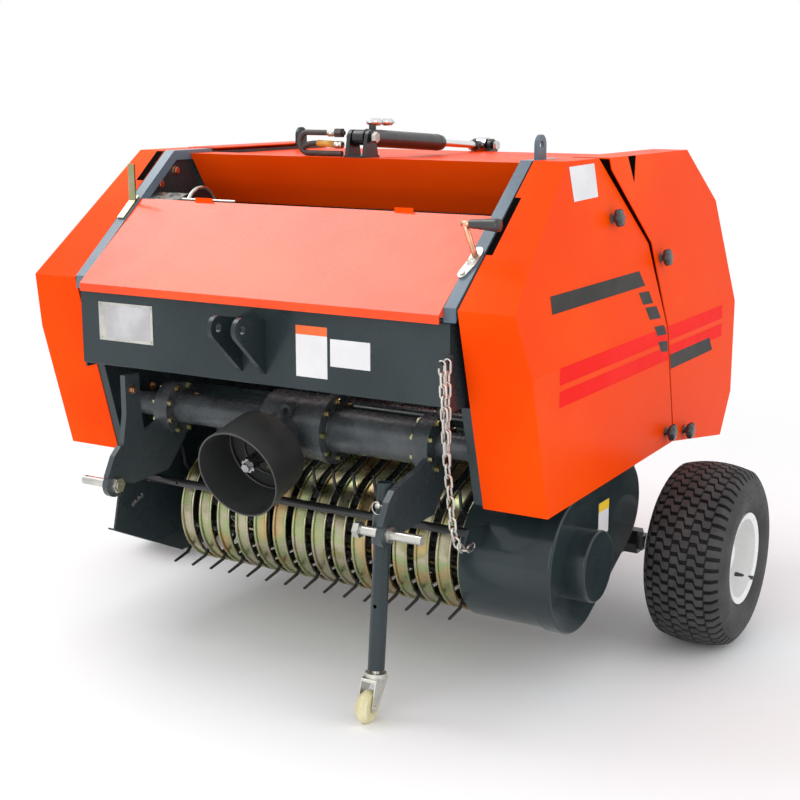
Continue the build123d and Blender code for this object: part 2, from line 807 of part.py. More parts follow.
# Stripper bands: sheet hoops that run over the top to the throat, tied by two bars
band_top_angle = 110.0
band_top_len = 205.0
band_foot = 200.0
tie_r = 9.0
pickup_plate_x = -480.0
pickup_plate_t = 6.0
drive_in = 625.0        # inner face of the chain case
mid_r = band_r - band_t / 2
top_dir = (math.sin(math.radians(band_top_angle)), -math.cos(math.radians(band_top_angle)))
top_s = pickup_s + mid_r * math.cos(math.radians(band_top_angle)) + band_top_len * top_dir[0]
top_z = pickup_z + mid_r * math.sin(math.radians(band_top_angle)) + band_top_len * top_dir[1]
tie_drop = tie_r + band_t / 2 - 1.0
with BuildPart() as stripper_bands:
    with BuildSketch(*[side(band_left + i * band_pitch) for i in range(band_count)]):
        with BuildLine():
            foot = Line((pickup_s + band_foot, pickup_z - mid_r), (pickup_s, pickup_z - mid_r))
            hoop = JernArc(foot @ 1, foot % 1, mid_r, band_top_angle - 270.0)
            run = Line(hoop @ 1, (top_s, top_z))
            offset(amount=band_t / 2, side=Side.BOTH, kind=Kind.INTERSECTION)
        make_face()
    extrude(amount=band_w)
    bar_x(pickup_plate_x + pickup_plate_t, band_left + (band_count - 1) * band_pitch + band_w,
          pickup_s + band_foot - tie_r, pickup_z - mid_r + tie_drop, tie_r)
    bar_x(-plate_in, plate_in, top_s - tie_r * top_dir[0] + tie_drop * top_dir[1],
          top_z - tie_r * top_dir[1] - tie_drop * top_dir[0], tie_r)
keep(stripper_bands, "stripper_bands")

# Pickup reel: shaft, four tine bars on spiders, and a row of tines in each gap between bands
reel_shaft_r = 20.0
tine_bar_r = 9.0
spider_t = 8.0
spider_x = (-420.0, -160.0, 160.0, 500.0)
tine_knee_r = 168.0
tine_trail = 9.0        # degrees by which a tip trails its bar
gap_w = band_pitch - band_w
tine_x = [band_left - gap_w / 2 + i * band_pitch for i in range(band_count)]
reel_left = pickup_plate_x + pickup_plate_t + run_gap
reel_right = drive_in - run_gap
bar_angles = [45.0 + 360.0 * k / tine_bars for k in range(tine_bars)]


def reel_point(radius, angle):
    """Station and height of a point of the reel, from its distance and direction from the axis."""
    return (
        pickup_s + radius * math.cos(math.radians(angle)),
        pickup_z + radius * math.sin(math.radians(angle)),
    )


with BuildPart() as pickup_reel:
    bar_x(reel_left, reel_right, pickup_s, pickup_z, reel_shaft_r)
    for angle in bar_angles:
        bar_x(spider_x[0] - 14.0, spider_x[-1] + 14.0, *reel_point(tine_bar_pcd, angle), tine_bar_r)
    with BuildSketch(*[side(x) for x in spider_x]):
        for angle in bar_angles:
            with Locations(reel_point(tine_bar_pcd, angle)):
                Circle(tine_bar_r + 6.0)
        make_hull()
    extrude(amount=spider_t)
    with BuildSketch(*[side(x - tine_r) for x in tine_x]):
        for angle in bar_angles:
            with BuildLine():
                Polyline(
                    reel_point(tine_bar_pcd, angle - 2.0),
                    reel_point(tine_knee_r, angle - 2.0),
                    reel_point(tine_tip_r, angle - tine_trail),
                    reel_point(tine_tip_r + 1.0, angle - tine_trail + 1.0),
                    reel_point(tine_knee_r, angle + 0.3),
                    reel_point(tine_bar_pcd, angle + 2.0),
                    reel_point(tine_bar_pcd, angle - 2.0),
                )
            make_face()
    extrude(amount=2 * tine_r)
keep(pickup_reel, "pickup_reel")

# Left pickup plate with its slot, foot flange, and the boss it pivots on
pivot_s = 425.0
pivot_z = 495.0
with BuildPart() as pickup_plate:
    with BuildSketch(side(pickup_plate_x)):
        Polygon((43.0, 273.0), (62.0, 351.0), (92.0, 480.0), (380.0, 500.0), (455.0, 470.0), (484.0, 400.0),
                (545.0, 185.0), (545.0, 144.0), (300.0, 150.0), align=None)
        with Locations((pivot_s, pivot_z)):
            Circle(30.0)
        with Locations((132.0, 331.0)):
            SlotOverall(48.0, 15.0, rotation=25.0, mode=Mode.SUBTRACT)
        with Locations((pickup_s, pickup_z)):
            Circle(reel_shaft_r + 4.0, mode=Mode.SUBTRACT)
    extrude(amount=pickup_plate_t)
    with BuildSketch(side(pickup_plate_x - 18.0)):
        Polygon((43.0, 273.0), (300.0, 150.0), (302.0, 154.0), (45.0, 277.0), align=None)
    extrude(amount=20.0)
    bar_x(-plate_in, pickup_plate_x, pivot_s, pivot_z, 22.0)
    bar_x(pickup_plate_x - 14.0, pickup_plate_x + 1.0, pickup_s, pickup_z, reel_shaft_r + 22.0)
    bar_x(pickup_plate_x - 10.0, reel_left - 0.4, pickup_s, pickup_z, reel_shaft_r - 4.0)
keep(pickup_plate, "pickup_plate")

# Front bar of the pickup: tube with a row of cross holes
front_bar_s = 127.0
front_bar_z = 400.0
front_bar_r = 10.0
bracket_x = 493.0
chain_pin_s = 108.0     # pin on the bracket that the chain's lower end hangs on
chain_pin_z = 380.0
with BuildPart() as pickup_front_bar:
    bar_x(pickup_plate_x + pickup_plate_t, bracket_x, front_bar_s, front_bar_z, front_bar_r)
    with Locations(*[(x, nose_y + front_bar_s, front_bar_z) for x in (-430.0, -330.0, -230.0)]):
        Cylinder(3.0, 3 * front_bar_r, rotation=(90, 0, 0), mode=Mode.SUBTRACT)
keep(pickup_front_bar, "pickup_front_bar")

# Pickup drive: guard round the right end of the reel, chain case with its arm, and round cap
guard_r = 160.0
guard_in = 440.0
guard_t = 4.0
case_r = 165.0
case_t = 45.0
case_arm_s = 590.0
case_arm_z = 372.0
case_arm_r = 112.0
cap_r = 84.0
cap_t = 48.0
with BuildPart() as pickup_drive:
    with BuildSketch(side(guard_in)):
        with Locations((pickup_s, pickup_z)):
            Circle(guard_r)
            Circle(guard_r - guard_t, mode=Mode.SUBTRACT)
        Polygon(
            (pickup_s, pickup_z),
            reel_point(2 * guard_r, 245.0),
            reel_point(2 * guard_r, 315.0),
            reel_point(2 * guard_r, 25.0),
            reel_point(2 * guard_r, 68.0),
            reel_point(2 * guard_r, 112.0),
            align=None,
            mode=Mode.SUBTRACT,
        )
    extrude(amount=drive_in - guard_in)
    with BuildSketch(side(drive_in)):
        with Locations((pickup_s, pickup_z)):
            Circle(case_r)
        with Locations((case_arm_s, case_arm_z)):
            Circle(case_arm_r)
        make_hull()
    extrude(amount=case_t)
    fillet(pickup_drive.faces().sort_by(Axis.X)[-1].edges(), 6.0)
    bar_x(drive_in + case_t - 1.0, drive_in + case_t + cap_t, pickup_s, pickup_z, cap_r)
    fillet(pickup_drive.faces().sort_by(Axis.X)[-1].edges(), 5.0)
    bar_x(drive_in + case_t + cap_t - 1.0, drive_in + case_t + cap_t + 3.0, pickup_s, pickup_z, 15.0)
    bar_x(plate_in + plate_t, drive_in + 1.0, 560.0, 442.0, 30.0)
    bar_x(reel_right + 0.4, drive_in + 1.0, pickup_s, pickup_z, reel_shaft_r + 6.0)
    with BuildSketch(side(bracket_x)):
        with Locations((front_bar_s, front_bar_z)):
            Circle(15.0)
        with Locations(reel_point(guard_r - 2.0, 140.0)):
            Circle(2.0)
        with Locations(reel_point(guard_r - 2.0, 158.0)):
            Circle(2.0)
        with Locations((chain_pin_s, chain_pin_z)):
            Circle(9.0)
        make_hull()
    extrude(amount=6.0)
    bar_x(bracket_x + 5.0, bracket_x + 22.0, chain_pin_s, chain_pin_z, chain_hook_r)
keep(pickup_drive, "pickup_drive")

# Chain that holds the pickup up: oval links, each turned a quarter turn to the next
link_wire = 5.0
link_len = 37.0
link_w = 20.0
hook_top_z = chain_hook_z + chain_hook_r
long_strand = [
    (-38.0, hook_top_z),
    (-18.0, 620.0),
    (16.0, 440.0),
    (34.0, 405.0),
    (62.0, 383.0),
    (90.0, chain_pin_z - 2.0),
    (chain_pin_s + chain_hook_r, chain_pin_z),
]
short_strand = [
    (-14.0, hook_top_z),
    (-13.0, 590.0),
]


def link_frames(strand, count):
    """Centre and direction of each link, at equal steps along a strand given by stations and heights."""
    points = [Vector(chain_x, nose_y + s, z) for s, z in strand]
    legs = list(zip(points, points[1:]))
    total = sum((b - a).length for a, b in legs)
    end = link_len / 2 - link_wire - 0.3
    frames = []
    for i in range(count):
        left = end + (total - 2 * end) * i / (count - 1)
        for a, b in legs:
            if left <= (b - a).length:
                break
            left -= (b - a).length
        frames.append((a + (b - a).normalized() * left, (b - a).normalized()))
    return frames


with BuildPart() as chain:
    for strand, count in ((long_strand, 20), (short_strand, 9)):
        for i, (centre, along) in enumerate(link_frames(strand, count)):
            across = Vector(1, 0, 0) if i % 2 == 0 else along.cross(Vector(1, 0, 0)).normalized()
            plane = Plane(origin=centre, x_dir=along, z_dir=along.cross(across))
            with BuildSketch(plane.offset(-link_wire / 2)):
                SlotOverall(link_len, link_w)
                SlotOverall(link_len - 2 * link_wire, link_w - 2 * link_wire, mode=Mode.SUBTRACT)
            extrude(amount=link_wire)
keep(chain, "chain")

# Roof cylinder: root bracket, barrel, rod and gate bracket, all in the plane x = cyl_x
cyl_len = math.hypot(cyl_eye_s - cyl_base_s, cyl_eye_z - cyl_base_z)
cyl_dir = (0.0, (cyl_eye_s - cyl_base_s) / cyl_len, (cyl_eye_z - cyl_base_z) / cyl_len)
cyl_bore_play = 0.4
barrel_len = 378.0
gland_len = 18.0
bore_start = 60.0
rod_start = 150.0
ear_x = cyl_eye_w / 2 + ear_gap   # from the cylinder's middle to an ear
rod_eye_bore = cyl_pin_r + cyl_drift + cyl_bore_play
rod_eye_r = rod_eye_bore + 9.0


def cylinder_plane(distance):
    """Plane square to the cylinder at a distance from its base pin, facing the rod's eye."""
    return Plane(
        origin=(
            cyl_x,
            nose_y + cyl_base_s + cyl_dir[1] * distance,
            cyl_base_z + cyl_dir[2] * distance,
        ),
        x_dir=(1, 0, 0),
        z_dir=cyl_dir,
    )


def ear_pair(s, z, feet, foot_r):
    """Two ears with a pin through them, from round feet on a sheet, added to the part in hand."""
    with BuildSketch(side(cyl_x - ear_x - ear_t), side(cyl_x + ear_x)) as ears:
        with Locations((s, z)):
            Circle(cyl_eye_r)
        with Locations(*feet):
            Circle(foot_r)
        make_hull()
    extrude(ears.sketch, amount=ear_t)
    bar_x(cyl_x - ear_x - ear_t - 8.0, cyl_x + ear_x + ear_t + 8.0, s, z, cyl_pin_r)


with BuildPart() as cylinder_bracket:
    ear_pair(cyl_base_s, cyl_base_z, [(cyl_base_s - 26.0, deck_z + 4.0), (cyl_base_s + 26.0, deck_z + 4.0)], 4.0)
    with BuildSketch(side(cyl_x - ear_x - ear_t)):
        with Locations((cyl_base_s, deck_z)):
            Rectangle(72.0, 5.0, align=(Align.CENTER, Align.MIN))
    extrude(amount=2 * (ear_x + ear_t))
keep(cylinder_bracket, "cylinder_bracket")

slope_rise = (bevel_z - 1.0 - gate_deck_z + sheet / 2) / (bevel_s - shell_inset - sheet - ridge_s)
slope_turn = math.degrees(math.atan(slope_rise))


def slope_top_z(s):
    """Height of the gate shell's sloping top at a station."""
    return gate_deck_z - sheet / 2 + (s - ridge_s) * slope_rise + sheet / 2 / math.cos(math.radians(slope_turn))


gate_feet = [(s, slope_top_z(s) + 5.5) for s in (1090.0, 1150.0)]
with BuildPart() as gate_bracket:
    ear_pair(cyl_eye_s, cyl_eye_z, gate_feet, 4.0)
keep(gate_bracket, "gate_bracket")

with BuildPart() as cylinder_barrel:
    with BuildSketch(side(cyl_x - cyl_eye_w / 2)):
        with Locations((cyl_base_s, cyl_base_z)):
            Circle(cyl_eye_r)
    extrude(amount=cyl_eye_w)
    with BuildSketch(cylinder_plane(0)):
        Circle(cyl_eye_r - 5.0)
    extrude(amount=40.0)
    with BuildSketch(cylinder_plane(28.0)):
        Circle(cyl_barrel_r)
    extrude(amount=barrel_len - 28.0)
    with BuildSketch(cylinder_plane(barrel_len)):
        Circle(cyl_barrel_r - 2.0)
    extrude(amount=gland_len)
    with BuildSketch(cylinder_plane(bore_start)):
        Circle(cyl_rod_r + cyl_bore_play)
    extrude(amount=barrel_len + gland_len, mode=Mode.SUBTRACT)
    with BuildSketch(side(cyl_x - cyl_eye_w / 2)):
        with Locations((cyl_base_s, cyl_base_z)):
            Circle(cyl_pin_r + pin_play)
    extrude(amount=cyl_eye_w, mode=Mode.SUBTRACT)
    with BuildSketch(Plane(origin=(cyl_x, nose_y + cyl_base_s + 52.0, cyl_base_z - 3.0), x_dir=(0, 1, 0),
                           z_dir=(0, 0, 1))):
        Circle(9.0)
        Circle(5.0, mode=Mode.SUBTRACT)
    extrude(amount=cyl_barrel_r + 10.0)
keep(cylinder_barrel, "cylinder_barrel")

with BuildPart() as cylinder_rod:
    with BuildSketch(cylinder_plane(rod_start)):
        Circle(cyl_rod_r)
    extrude(amount=cyl_len - rod_start - rod_eye_bore - 2.0)
    with BuildSketch(side(cyl_x - cyl_eye_w / 2)):
        with Locations((cyl_eye_s, cyl_eye_z)):
            Circle(rod_eye_r)
            Circle(rod_eye_bore, mode=Mode.SUBTRACT)
    extrude(amount=cyl_eye_w)
keep(cylinder_rod, "cylinder_rod")

# Hydraulic hose of the cylinder: a loop to the left that comes back to the deck
hose_r = 7.0
hose_s = cyl_base_s - 4.0
hose_top_z = 1258.0
hose_low_z = deck_z + hose_r + 0.3
with BuildPart() as hoses:
    with BuildLine() as hose_line:
        FilletPolyline(
            (-60.0, nose_y + hose_s, hose_top_z),
            (-172.0, nose_y + hose_s, hose_top_z),
            (-172.0, nose_y + hose_s, hose_low_z),
            (-46.0, nose_y + hose_s, hose_low_z),
            radius=24.0,
        )
    with BuildSketch(Plane(origin=hose_line.line @ 0, z_dir=hose_line.line % 0)):
        Circle(hose_r)
    sweep()
    bar_x(-118.0, -38.0, hose_s, hose_top_z, 5.0)
    with BuildSketch(side(-64.0)):
        with Locations((hose_s, hose_top_z)):
            RegularPolygon(12.0, 6)
    extrude(amount=20.0)
keep(hoses, "hoses")

# Side covers: deep trays, open towards the plates, at the bottom and along the split
front_cover = [
    (0.0, nose_z),
    (brow_s, roof_z),
    *split,
    (toe_s, hem_z),
]
gate_cover = [
    (split_s[0] + 32.0, roof_z),
    (split_s[0] + 38.0, roof_z - 28.0),
    (split_s[1] + split_gap, split_z[1]),
    (split_s[2] + split_gap, split_z[2]),
    (split_s[3] + split_gap, split_z[3]),
    (heel_s, heel_z),
    (tail_s, tail_low_z),
    (tail_s, fold_z),
    (bevel_s, bevel_z),
    (ridge_s, roof_z),
]
for name, outline, top_x, open_edges in (
    ("front_cover", front_cover, cover_top, (2, 3, 4, 5)),
    ("rear_cover", gate_cover, gate_cover_top, (0, 1, 2, 3, 4)),
):
    for hand, sign in hands:
        with BuildPart() as cover:
            with BuildSketch(side(cover_in)):
                Polygon(*outline, align=None)
            extrude(amount=cover_out - cover_in)
            with BuildSketch(front(-50.0)):
                Polygon(
                    (cover_out, fold_z),
                    (cover_out + 5.0, fold_z),
                    (cover_out + 5.0, roof_z + 5.0),
                    (top_x, roof_z + 5.0),
                    (top_x, roof_z),
                    align=None,
                )
            extrude(amount=-(tail_s + 100.0), mode=Mode.SUBTRACT)
            opened = [cover.faces().sort_by(Axis.X)[0]]
            for i in open_edges:
                a = outline[i]
                b = outline[(i + 1) % len(outline)]
                middle = (cover_in + 10.0, nose_y + (a[0] + b[0]) / 2, (a[1] + b[1]) / 2)
                opened.append(cover.faces().sort_by(lambda face: face.distance_to(middle))[0])
            offset(amount=-sheet, openings=opened)
            if sign < 0:
                mirror(about=Plane.YZ, mode=Mode.REPLACE)
        keep(cover, f"{name}_{hand}")

# Twine arm at the left of the hood opening: bracket, shaft with a disc, and the arm
tier_s = 300.0
tier_z = 1107.0
with BuildPart() as twine_tier:
    with BuildSketch(side(-plate_in)):
        with Locations((tier_s + 4.0, tier_z - 12.0)):
            Rectangle(60.0, 46.0)
    extrude(amount=5.0)
    with BuildSketch(side(-482.0)):
        with Locations((tier_s + 4.0, tier_z - 12.0)):
            Rectangle(50.0, 38.0)
    extrude(amount=60.0)
    fillet(twine_tier.edges().filter_by(Axis.X), 4.0)
    bar_x(-502.0, -356.0, tier_s, tier_z, 8.0)
    bar_x(-370.0, -362.0, tier_s, tier_z, 22.0)
    bar_x(-362.0, -352.0, tier_s, tier_z, 12.0)
    with BuildSketch(side(-380.0)):
        with Locations((tier_s, tier_z)):
            Circle(13.0)
        with Locations((tier_s - 48.0, tier_z - 20.0)):
            Circle(7.0)
        make_hull()
    extrude(amount=6.0)
keep(twine_tier, "twine_tier")

# Small control lever on the left rail, with the strip it stands on
rail_slope = (roof_z - nose_z - 5.0) / brow_s


def rail_top(s):
    """Height of the sloping rail's top at a station."""
    return nose_z + 5.0 + s * rail_slope


with BuildPart() as lever_left:
    with BuildSketch(side(-520.0)):
        Polygon((153.0, rail_top(153.0) + 0.2), (214.0, rail_top(214.0) + 0.2), (214.0, rail_top(214.0) + 5.0),
                (153.0, rail_top(153.0) + 5.0), align=None)
    extrude(amount=20.0)
    with BuildSketch(side(-513.0)):
        Polygon((194.0, rail_top(194.0) + 2.0), (208.0, rail_top(208.0) + 2.0), (208.0, 1181.0),
                (194.0, 1181.0), align=None)
    extrude(amount=6.0)
keep(lever_left, "lever_left")

# Crank on the right rail: strip with an ear, arm and grip
crank_pivot = (132.0, rail_top(132.0) + 20.0)
grip_s = 100.0
grip_z = 1088.0
with BuildPart() as crank_right:
    with BuildSketch(side(499.0)):
        Polygon((79.0, rail_top(79.0) + 0.2), (173.0, rail_top(173.0) + 0.2), (173.0, rail_top(173.0) + 5.0),
                (79.0, rail_top(79.0) + 5.0), align=None)
    extrude(amount=22.0)
    with BuildSketch(side(500.0)):
        with Locations(crank_pivot):
            Circle(12.0)
        with Locations((112.0, rail_top(112.0) + 4.0), (152.0, rail_top(152.0) + 4.0)):
            Circle(2.0)
        make_hull()
    extrude(amount=5.0)
    bar_x(482.0, 512.0, *crank_pivot, 6.0)
    with BuildSketch(side(484.0)):
        with Locations(crank_pivot):
            Circle(12.0)
        with Locations((grip_s, grip_z)):
            Circle(9.0)
        make_hull()
    extrude(amount=6.0)
    bar_x(484.0, 492.0, grip_s, grip_z, 6.0)
    bar_x(491.0, 574.0, grip_s, grip_z, 13.0)
    fillet(crank_right.faces().sort_by(Axis.X)[-1].edges(), 4.0)
keep(crank_right, "crank_right")
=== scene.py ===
# %% [markdown]
# This lesson dresses a small round baler. The sheet covers, frame, pickup and wheels come from the packed
# model and stay where they are. Here they get paint, zinc, rubber and cast iron, and the small things that
# give a farm machine its look: tyre tread, beaded bands, round chain links, bolts, knobs and stripes.

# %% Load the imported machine
import math
import bpy
import numpy as np
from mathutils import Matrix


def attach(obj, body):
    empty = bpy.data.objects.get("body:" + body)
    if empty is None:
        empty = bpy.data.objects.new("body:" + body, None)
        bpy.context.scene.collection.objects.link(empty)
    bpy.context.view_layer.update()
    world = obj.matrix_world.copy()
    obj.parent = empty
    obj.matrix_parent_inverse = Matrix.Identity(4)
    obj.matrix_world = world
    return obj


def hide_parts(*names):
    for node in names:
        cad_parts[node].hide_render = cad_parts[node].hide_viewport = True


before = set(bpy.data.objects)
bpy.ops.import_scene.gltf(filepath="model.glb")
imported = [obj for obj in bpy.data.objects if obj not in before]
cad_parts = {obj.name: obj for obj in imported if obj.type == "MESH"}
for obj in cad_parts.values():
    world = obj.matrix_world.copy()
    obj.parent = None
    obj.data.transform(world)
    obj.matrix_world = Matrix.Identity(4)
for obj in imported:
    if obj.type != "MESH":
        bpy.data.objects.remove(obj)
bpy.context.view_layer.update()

# %% [markdown]
# On the drawing every place is given by a distance across, a station behind the nose of the covers and a
# height, in millimetres. One small function turns such a place into metres, so that the numbers below read
# like the drawing. It works on whole arrays of places at once. Much of the machine is round, so two more
# helpers give the angles of a full turn and points on a circle.

# %% Places on the drawing
NOSE_Y = -0.6141033
HANDS = (("right", 1.0), ("left", -1.0))


def place(x, s, z):
    """Metres from millimetres: y is the station plus the nose's place, and x and z are only scaled."""
    x, s, z = np.broadcast_arrays(np.asarray(x, float), np.asarray(s, float), np.asarray(z, float))
    return np.stack([x / 1000, NOSE_Y + s / 1000, z / 1000], axis=-1)


def placed(rows):
    """The same for one array whose last axis holds x, s and z."""
    return place(*np.moveaxis(np.asarray(rows, float), -1, 0))


def full_turn(count):
    """Equal angles all the way round, without the last one, which would be the first again."""
    return np.linspace(0, 2 * np.pi, count, endpoint=False)


def circle(angle, radius=1.0, centre=(0.0, 0.0)):
    """Pairs centre + radius (cos a, sin a), one for each angle."""
    return np.asarray(centre) + radius * np.stack([np.cos(angle), np.sin(angle)], axis=-1)


# %% [markdown]
# A camera with a longish lens stands to the right of the nose, a little above the roof, and looks down
# slightly. Its place and angles follow from the corners of the covers, so renders line up with the picture.

# %% Camera
camera_data = bpy.data.cameras.new("camera")
camera_data.lens = 64.4
camera_data.sensor_width = 36.0
camera = bpy.data.objects.new("camera", camera_data)
camera.location = (1.91935, -2.56496 + NOSE_Y, 1.36666)
camera.rotation_euler = (math.radians(77.7), 0.0, math.radians(30.8))
bpy.context.scene.collection.objects.link(camera)
bpy.context.scene.camera = camera

# %% [markdown]
# All shader nodes are made by one helper. It takes the kind of node, its inputs and its settings. An input
# is a plain value, which goes to the socket itself, or the output of another node, which is linked to it.


# %% A helper for shader nodes
def set_inputs(tree, node, inputs):
    """Links an input where it is given another node's output, and otherwise sets its own value."""
    for key, value in inputs.items():
        if isinstance(value, bpy.types.NodeSocket):
            tree.links.new(value, node.inputs[key])
        else:
            node.inputs[key].default_value = value


def add_node(tree, kind, inputs=None, **settings):
    """A new shader node. Its settings come before its inputs, because they can change what it takes."""
    node = tree.nodes.new("ShaderNode" + kind)
    for key, value in settings.items():
        setattr(node, key, value)
    set_inputs(tree, node, inputs or {})
    return node


# %% [markdown]
# The studio is plain: a pale floor, a white surround and three broad soft lamps. The surround is white for
# the camera and for reflections, but lights the machine at a lower level, so that paint keeps its own
# colour. The floor is plain near the machine, where the shadow falls, and fades to white further out.

# %% Floor, surround and lamps
bpy.context.scene.view_settings.view_transform = "Standard"


def studio_world():
    """White for camera, glossy and transmission rays, and a softer level for everything else."""
    world = bpy.data.worlds.new("studio")
    world.use_nodes = True
    tree = world.node_tree
    tree.nodes.clear()
    path = add_node(tree, "LightPath")
    seen = path.outputs["Is Camera Ray"]
    for ray in ("Is Glossy Ray", "Is Transmission Ray"):
        seen = add_node(tree, "Math", {0: seen, 1: path.outputs[ray]}, operation="MAXIMUM").outputs[0]
    softer = add_node(tree, "Background", {"Color": (0.97, 0.98, 1.0, 1.0), "Strength": 0.90})
    white = add_node(tree, "Background", {"Color": (1.0, 1.0, 1.0, 1.0), "Strength": 1.0})
    mix = add_node(tree, "MixShader", {"Fac": seen, 1: softer.outputs[0], 2: white.outputs[0]})
    add_node(tree, "OutputWorld", {"Surface": mix.outputs[0]})
    bpy.context.scene.world = world


def soft_lamp(name, power, size, place_m, target_m):
    """A square area lamp that faces a target."""
    data = bpy.data.lights.new(name, "AREA")
    data.energy = power
    data.shape = "SQUARE"
    data.size = size
    lamp = bpy.data.objects.new(name, data)
    lamp.location = place_m
    aim = np.array(target_m) - np.array(place_m)
    flat = math.hypot(aim[0], aim[1])
    lamp.rotation_euler = (math.atan2(flat, -aim[2]), 0.0, math.atan2(aim[1], aim[0]) - math.pi / 2)
    bpy.context.scene.collection.objects.link(lamp)


def fading_paint(near=1.5, far=3.4):
    """The floor's paint: between two distances from the origin, the camera sees it turn to plain white."""
    paint = bpy.data.materials.new("pale_floor")
    paint.use_nodes = True
    tree = paint.node_tree
    plain = tree.nodes["Principled BSDF"]
    set_inputs(tree, plain, {"Base Color": (0.95, 0.95, 0.95, 1.0), "Roughness": 0.8})
    where = add_node(tree, "TexCoord").outputs["Object"]
    distance = add_node(tree, "VectorMath", {0: where}, operation="LENGTH").outputs["Value"]
    fade = add_node(tree, "MapRange", {"Value": distance, "From Min": near, "From Max": far},
                    interpolation_type="SMOOTHSTEP").outputs["Result"]
    camera_ray = add_node(tree, "LightPath").outputs["Is Camera Ray"]
    share = add_node(tree, "Math", {0: fade, 1: camera_ray}, operation="MULTIPLY").outputs[0]
    white = add_node(tree, "Emission").outputs[0]
    mix = add_node(tree, "MixShader", {"Fac": share, 1: plain.outputs[0], 2: white})
    set_inputs(tree, tree.nodes["Material Output"], {"Surface": mix.outputs[0]})
    return paint


studio_world()
soft_lamp("key", 50.0, 1.9, (-1.75, -0.45, 3.5), (0.0, -0.5, 1.0))
soft_lamp("front", 50.0, 3.0, (0.6, -4.6, 1.9), (0.0, 0.0, 0.7))
soft_lamp("side", 20.0, 2.4, (4.0, 0.2, 2.2), (0.4, 0.1, 0.7))

REACH = 60.0
floor_corners = [(-REACH, -REACH, 0), (REACH, -REACH, 0), (REACH, REACH, 0), (-REACH, REACH, 0)]
floor_mesh = bpy.data.meshes.new("floor")
floor_mesh.from_pydata(floor_corners, [], [(0, 1, 2, 3)])
floor_mesh.materials.append(fading_paint())
floor = bpy.data.objects.new("floor", floor_mesh)
bpy.context.scene.collection.objects.link(floor)

# %% [markdown]
# Every finish is one shader with noise that belongs to the machine: the noise reads object coordinates, so
# it stays put when a cover swings. A builder of finishes takes two close colours, a roughness range and a
# bump size. Paint gets a faint orange-peel, castings a coarse sand texture, and plated metal a fine grain.

# %% A builder of finishes
RAMP_FROM, RAMP_TO = 0.35, 0.68


def finish(name, dark, light, patch, rough, bump=0.0, grain=300.0, metal=0.0, coat=0.0, stretch=(1, 1, 1),
           specular=0.5, between=()):
    """Colours mixed by a broad noise, roughness moved by a finer noise, and bump from a grain noise."""
    made = bpy.data.materials.new(name)
    made.use_nodes = True
    tree = made.node_tree
    where = add_node(tree, "TexCoord").outputs["Object"]
    spot = add_node(tree, "Mapping", {"Vector": where, "Scale": stretch}).outputs["Vector"]

    def noise(scale, detail):
        """Values of a noise of this scale at the machine's own coordinates."""
        return add_node(tree, "TexNoise", {"Vector": spot, "Scale": scale, "Detail": detail}).outputs["Fac"]

    ramp = add_node(tree, "ValToRGB", {"Fac": noise(patch, 4.0)})
    ramp.color_ramp.interpolation = "EASE"
    stops = ramp.color_ramp.elements
    stops[0].position, stops[1].position = RAMP_FROM, RAMP_TO
    stops[0].color, stops[1].color = (*dark, 1.0), (*light, 1.0)
    for k, tint in enumerate(between, 1):
        stop = stops.new(RAMP_FROM + (RAMP_TO - RAMP_FROM) * k / (len(between) + 1))
        stop.color = (*tint, 1.0)
    spread = add_node(tree, "MapRange", {"Value": noise(patch * 6.0, 3.0), "From Min": 0.2, "From Max": 0.8,
                                         "To Min": rough[0], "To Max": rough[1]},
                      interpolation_type="SMOOTHERSTEP")
    look = {"Base Color": ramp.outputs["Color"], "Roughness": spread.outputs["Result"], "Metallic": metal,
            "Coat Weight": coat, "Coat Roughness": 0.06, "Specular IOR Level": specular}
    if bump:
        lift = add_node(tree, "Bump", {"Height": noise(grain, 5.0), "Strength": 1.0, "Distance": bump})
        look["Normal"] = lift.outputs["Normal"]
    set_inputs(tree, tree.nodes["Principled BSDF"], look)
    return made


# %% [markdown]
# The covers are a bright and almost matt orange-red, and the hood wears a glossier coat of it. The frame is
# a dark slate grey; the drive case and the rails are darker and bluer than it. The hitch arms wear a lighter
# copy of the slate, which paints light onto faces that the lamps leave in shade. The stripes are vinyl: red
# only a little deeper than the paint, and grey. The plate on the beam is bright aluminium, and two of the
# paper labels have a coloured band.

# %% Paints, vinyl and labels
ORANGE = finish("orange_paint", (0.92, 0.060, 0.001), (0.96, 0.080, 0.002), 2.2, (0.30, 0.36),
                bump=0.00003, grain=420.0, specular=0.03)
SLATE = finish("slate_paint", (0.018, 0.029, 0.032), (0.028, 0.041, 0.045), 3.0, (0.22, 0.34),
               bump=0.00006, grain=350.0, coat=0.08, specular=0.3)
GLOSS = finish("orange_gloss", (0.93, 0.060, 0.006), (0.97, 0.080, 0.010), 2.2, (0.24, 0.30),
               bump=0.00003, grain=420.0, coat=0.22, specular=0.3)
# Painted light: the slate made lighter for the hitch arms, whose faces the lamps leave in shade.
ARM_LIT = finish("arm_painted_light", (0.038, 0.050, 0.055), (0.052, 0.066, 0.071), 3.0, (0.24, 0.34),
             bump=0.00006, grain=350.0, coat=0.15, specular=0.4)
CASE = finish("case_paint", (0.014, 0.024, 0.027), (0.023, 0.036, 0.040), 3.0, (0.16, 0.26),
              bump=0.00004, grain=300.0, coat=0.2, specular=0.3)
RAIL = finish("rail_paint", (0.095, 0.140, 0.180), (0.130, 0.185, 0.230), 3.0, (0.22, 0.32),
              bump=0.00004, grain=350.0, coat=0.1, specular=0.3)
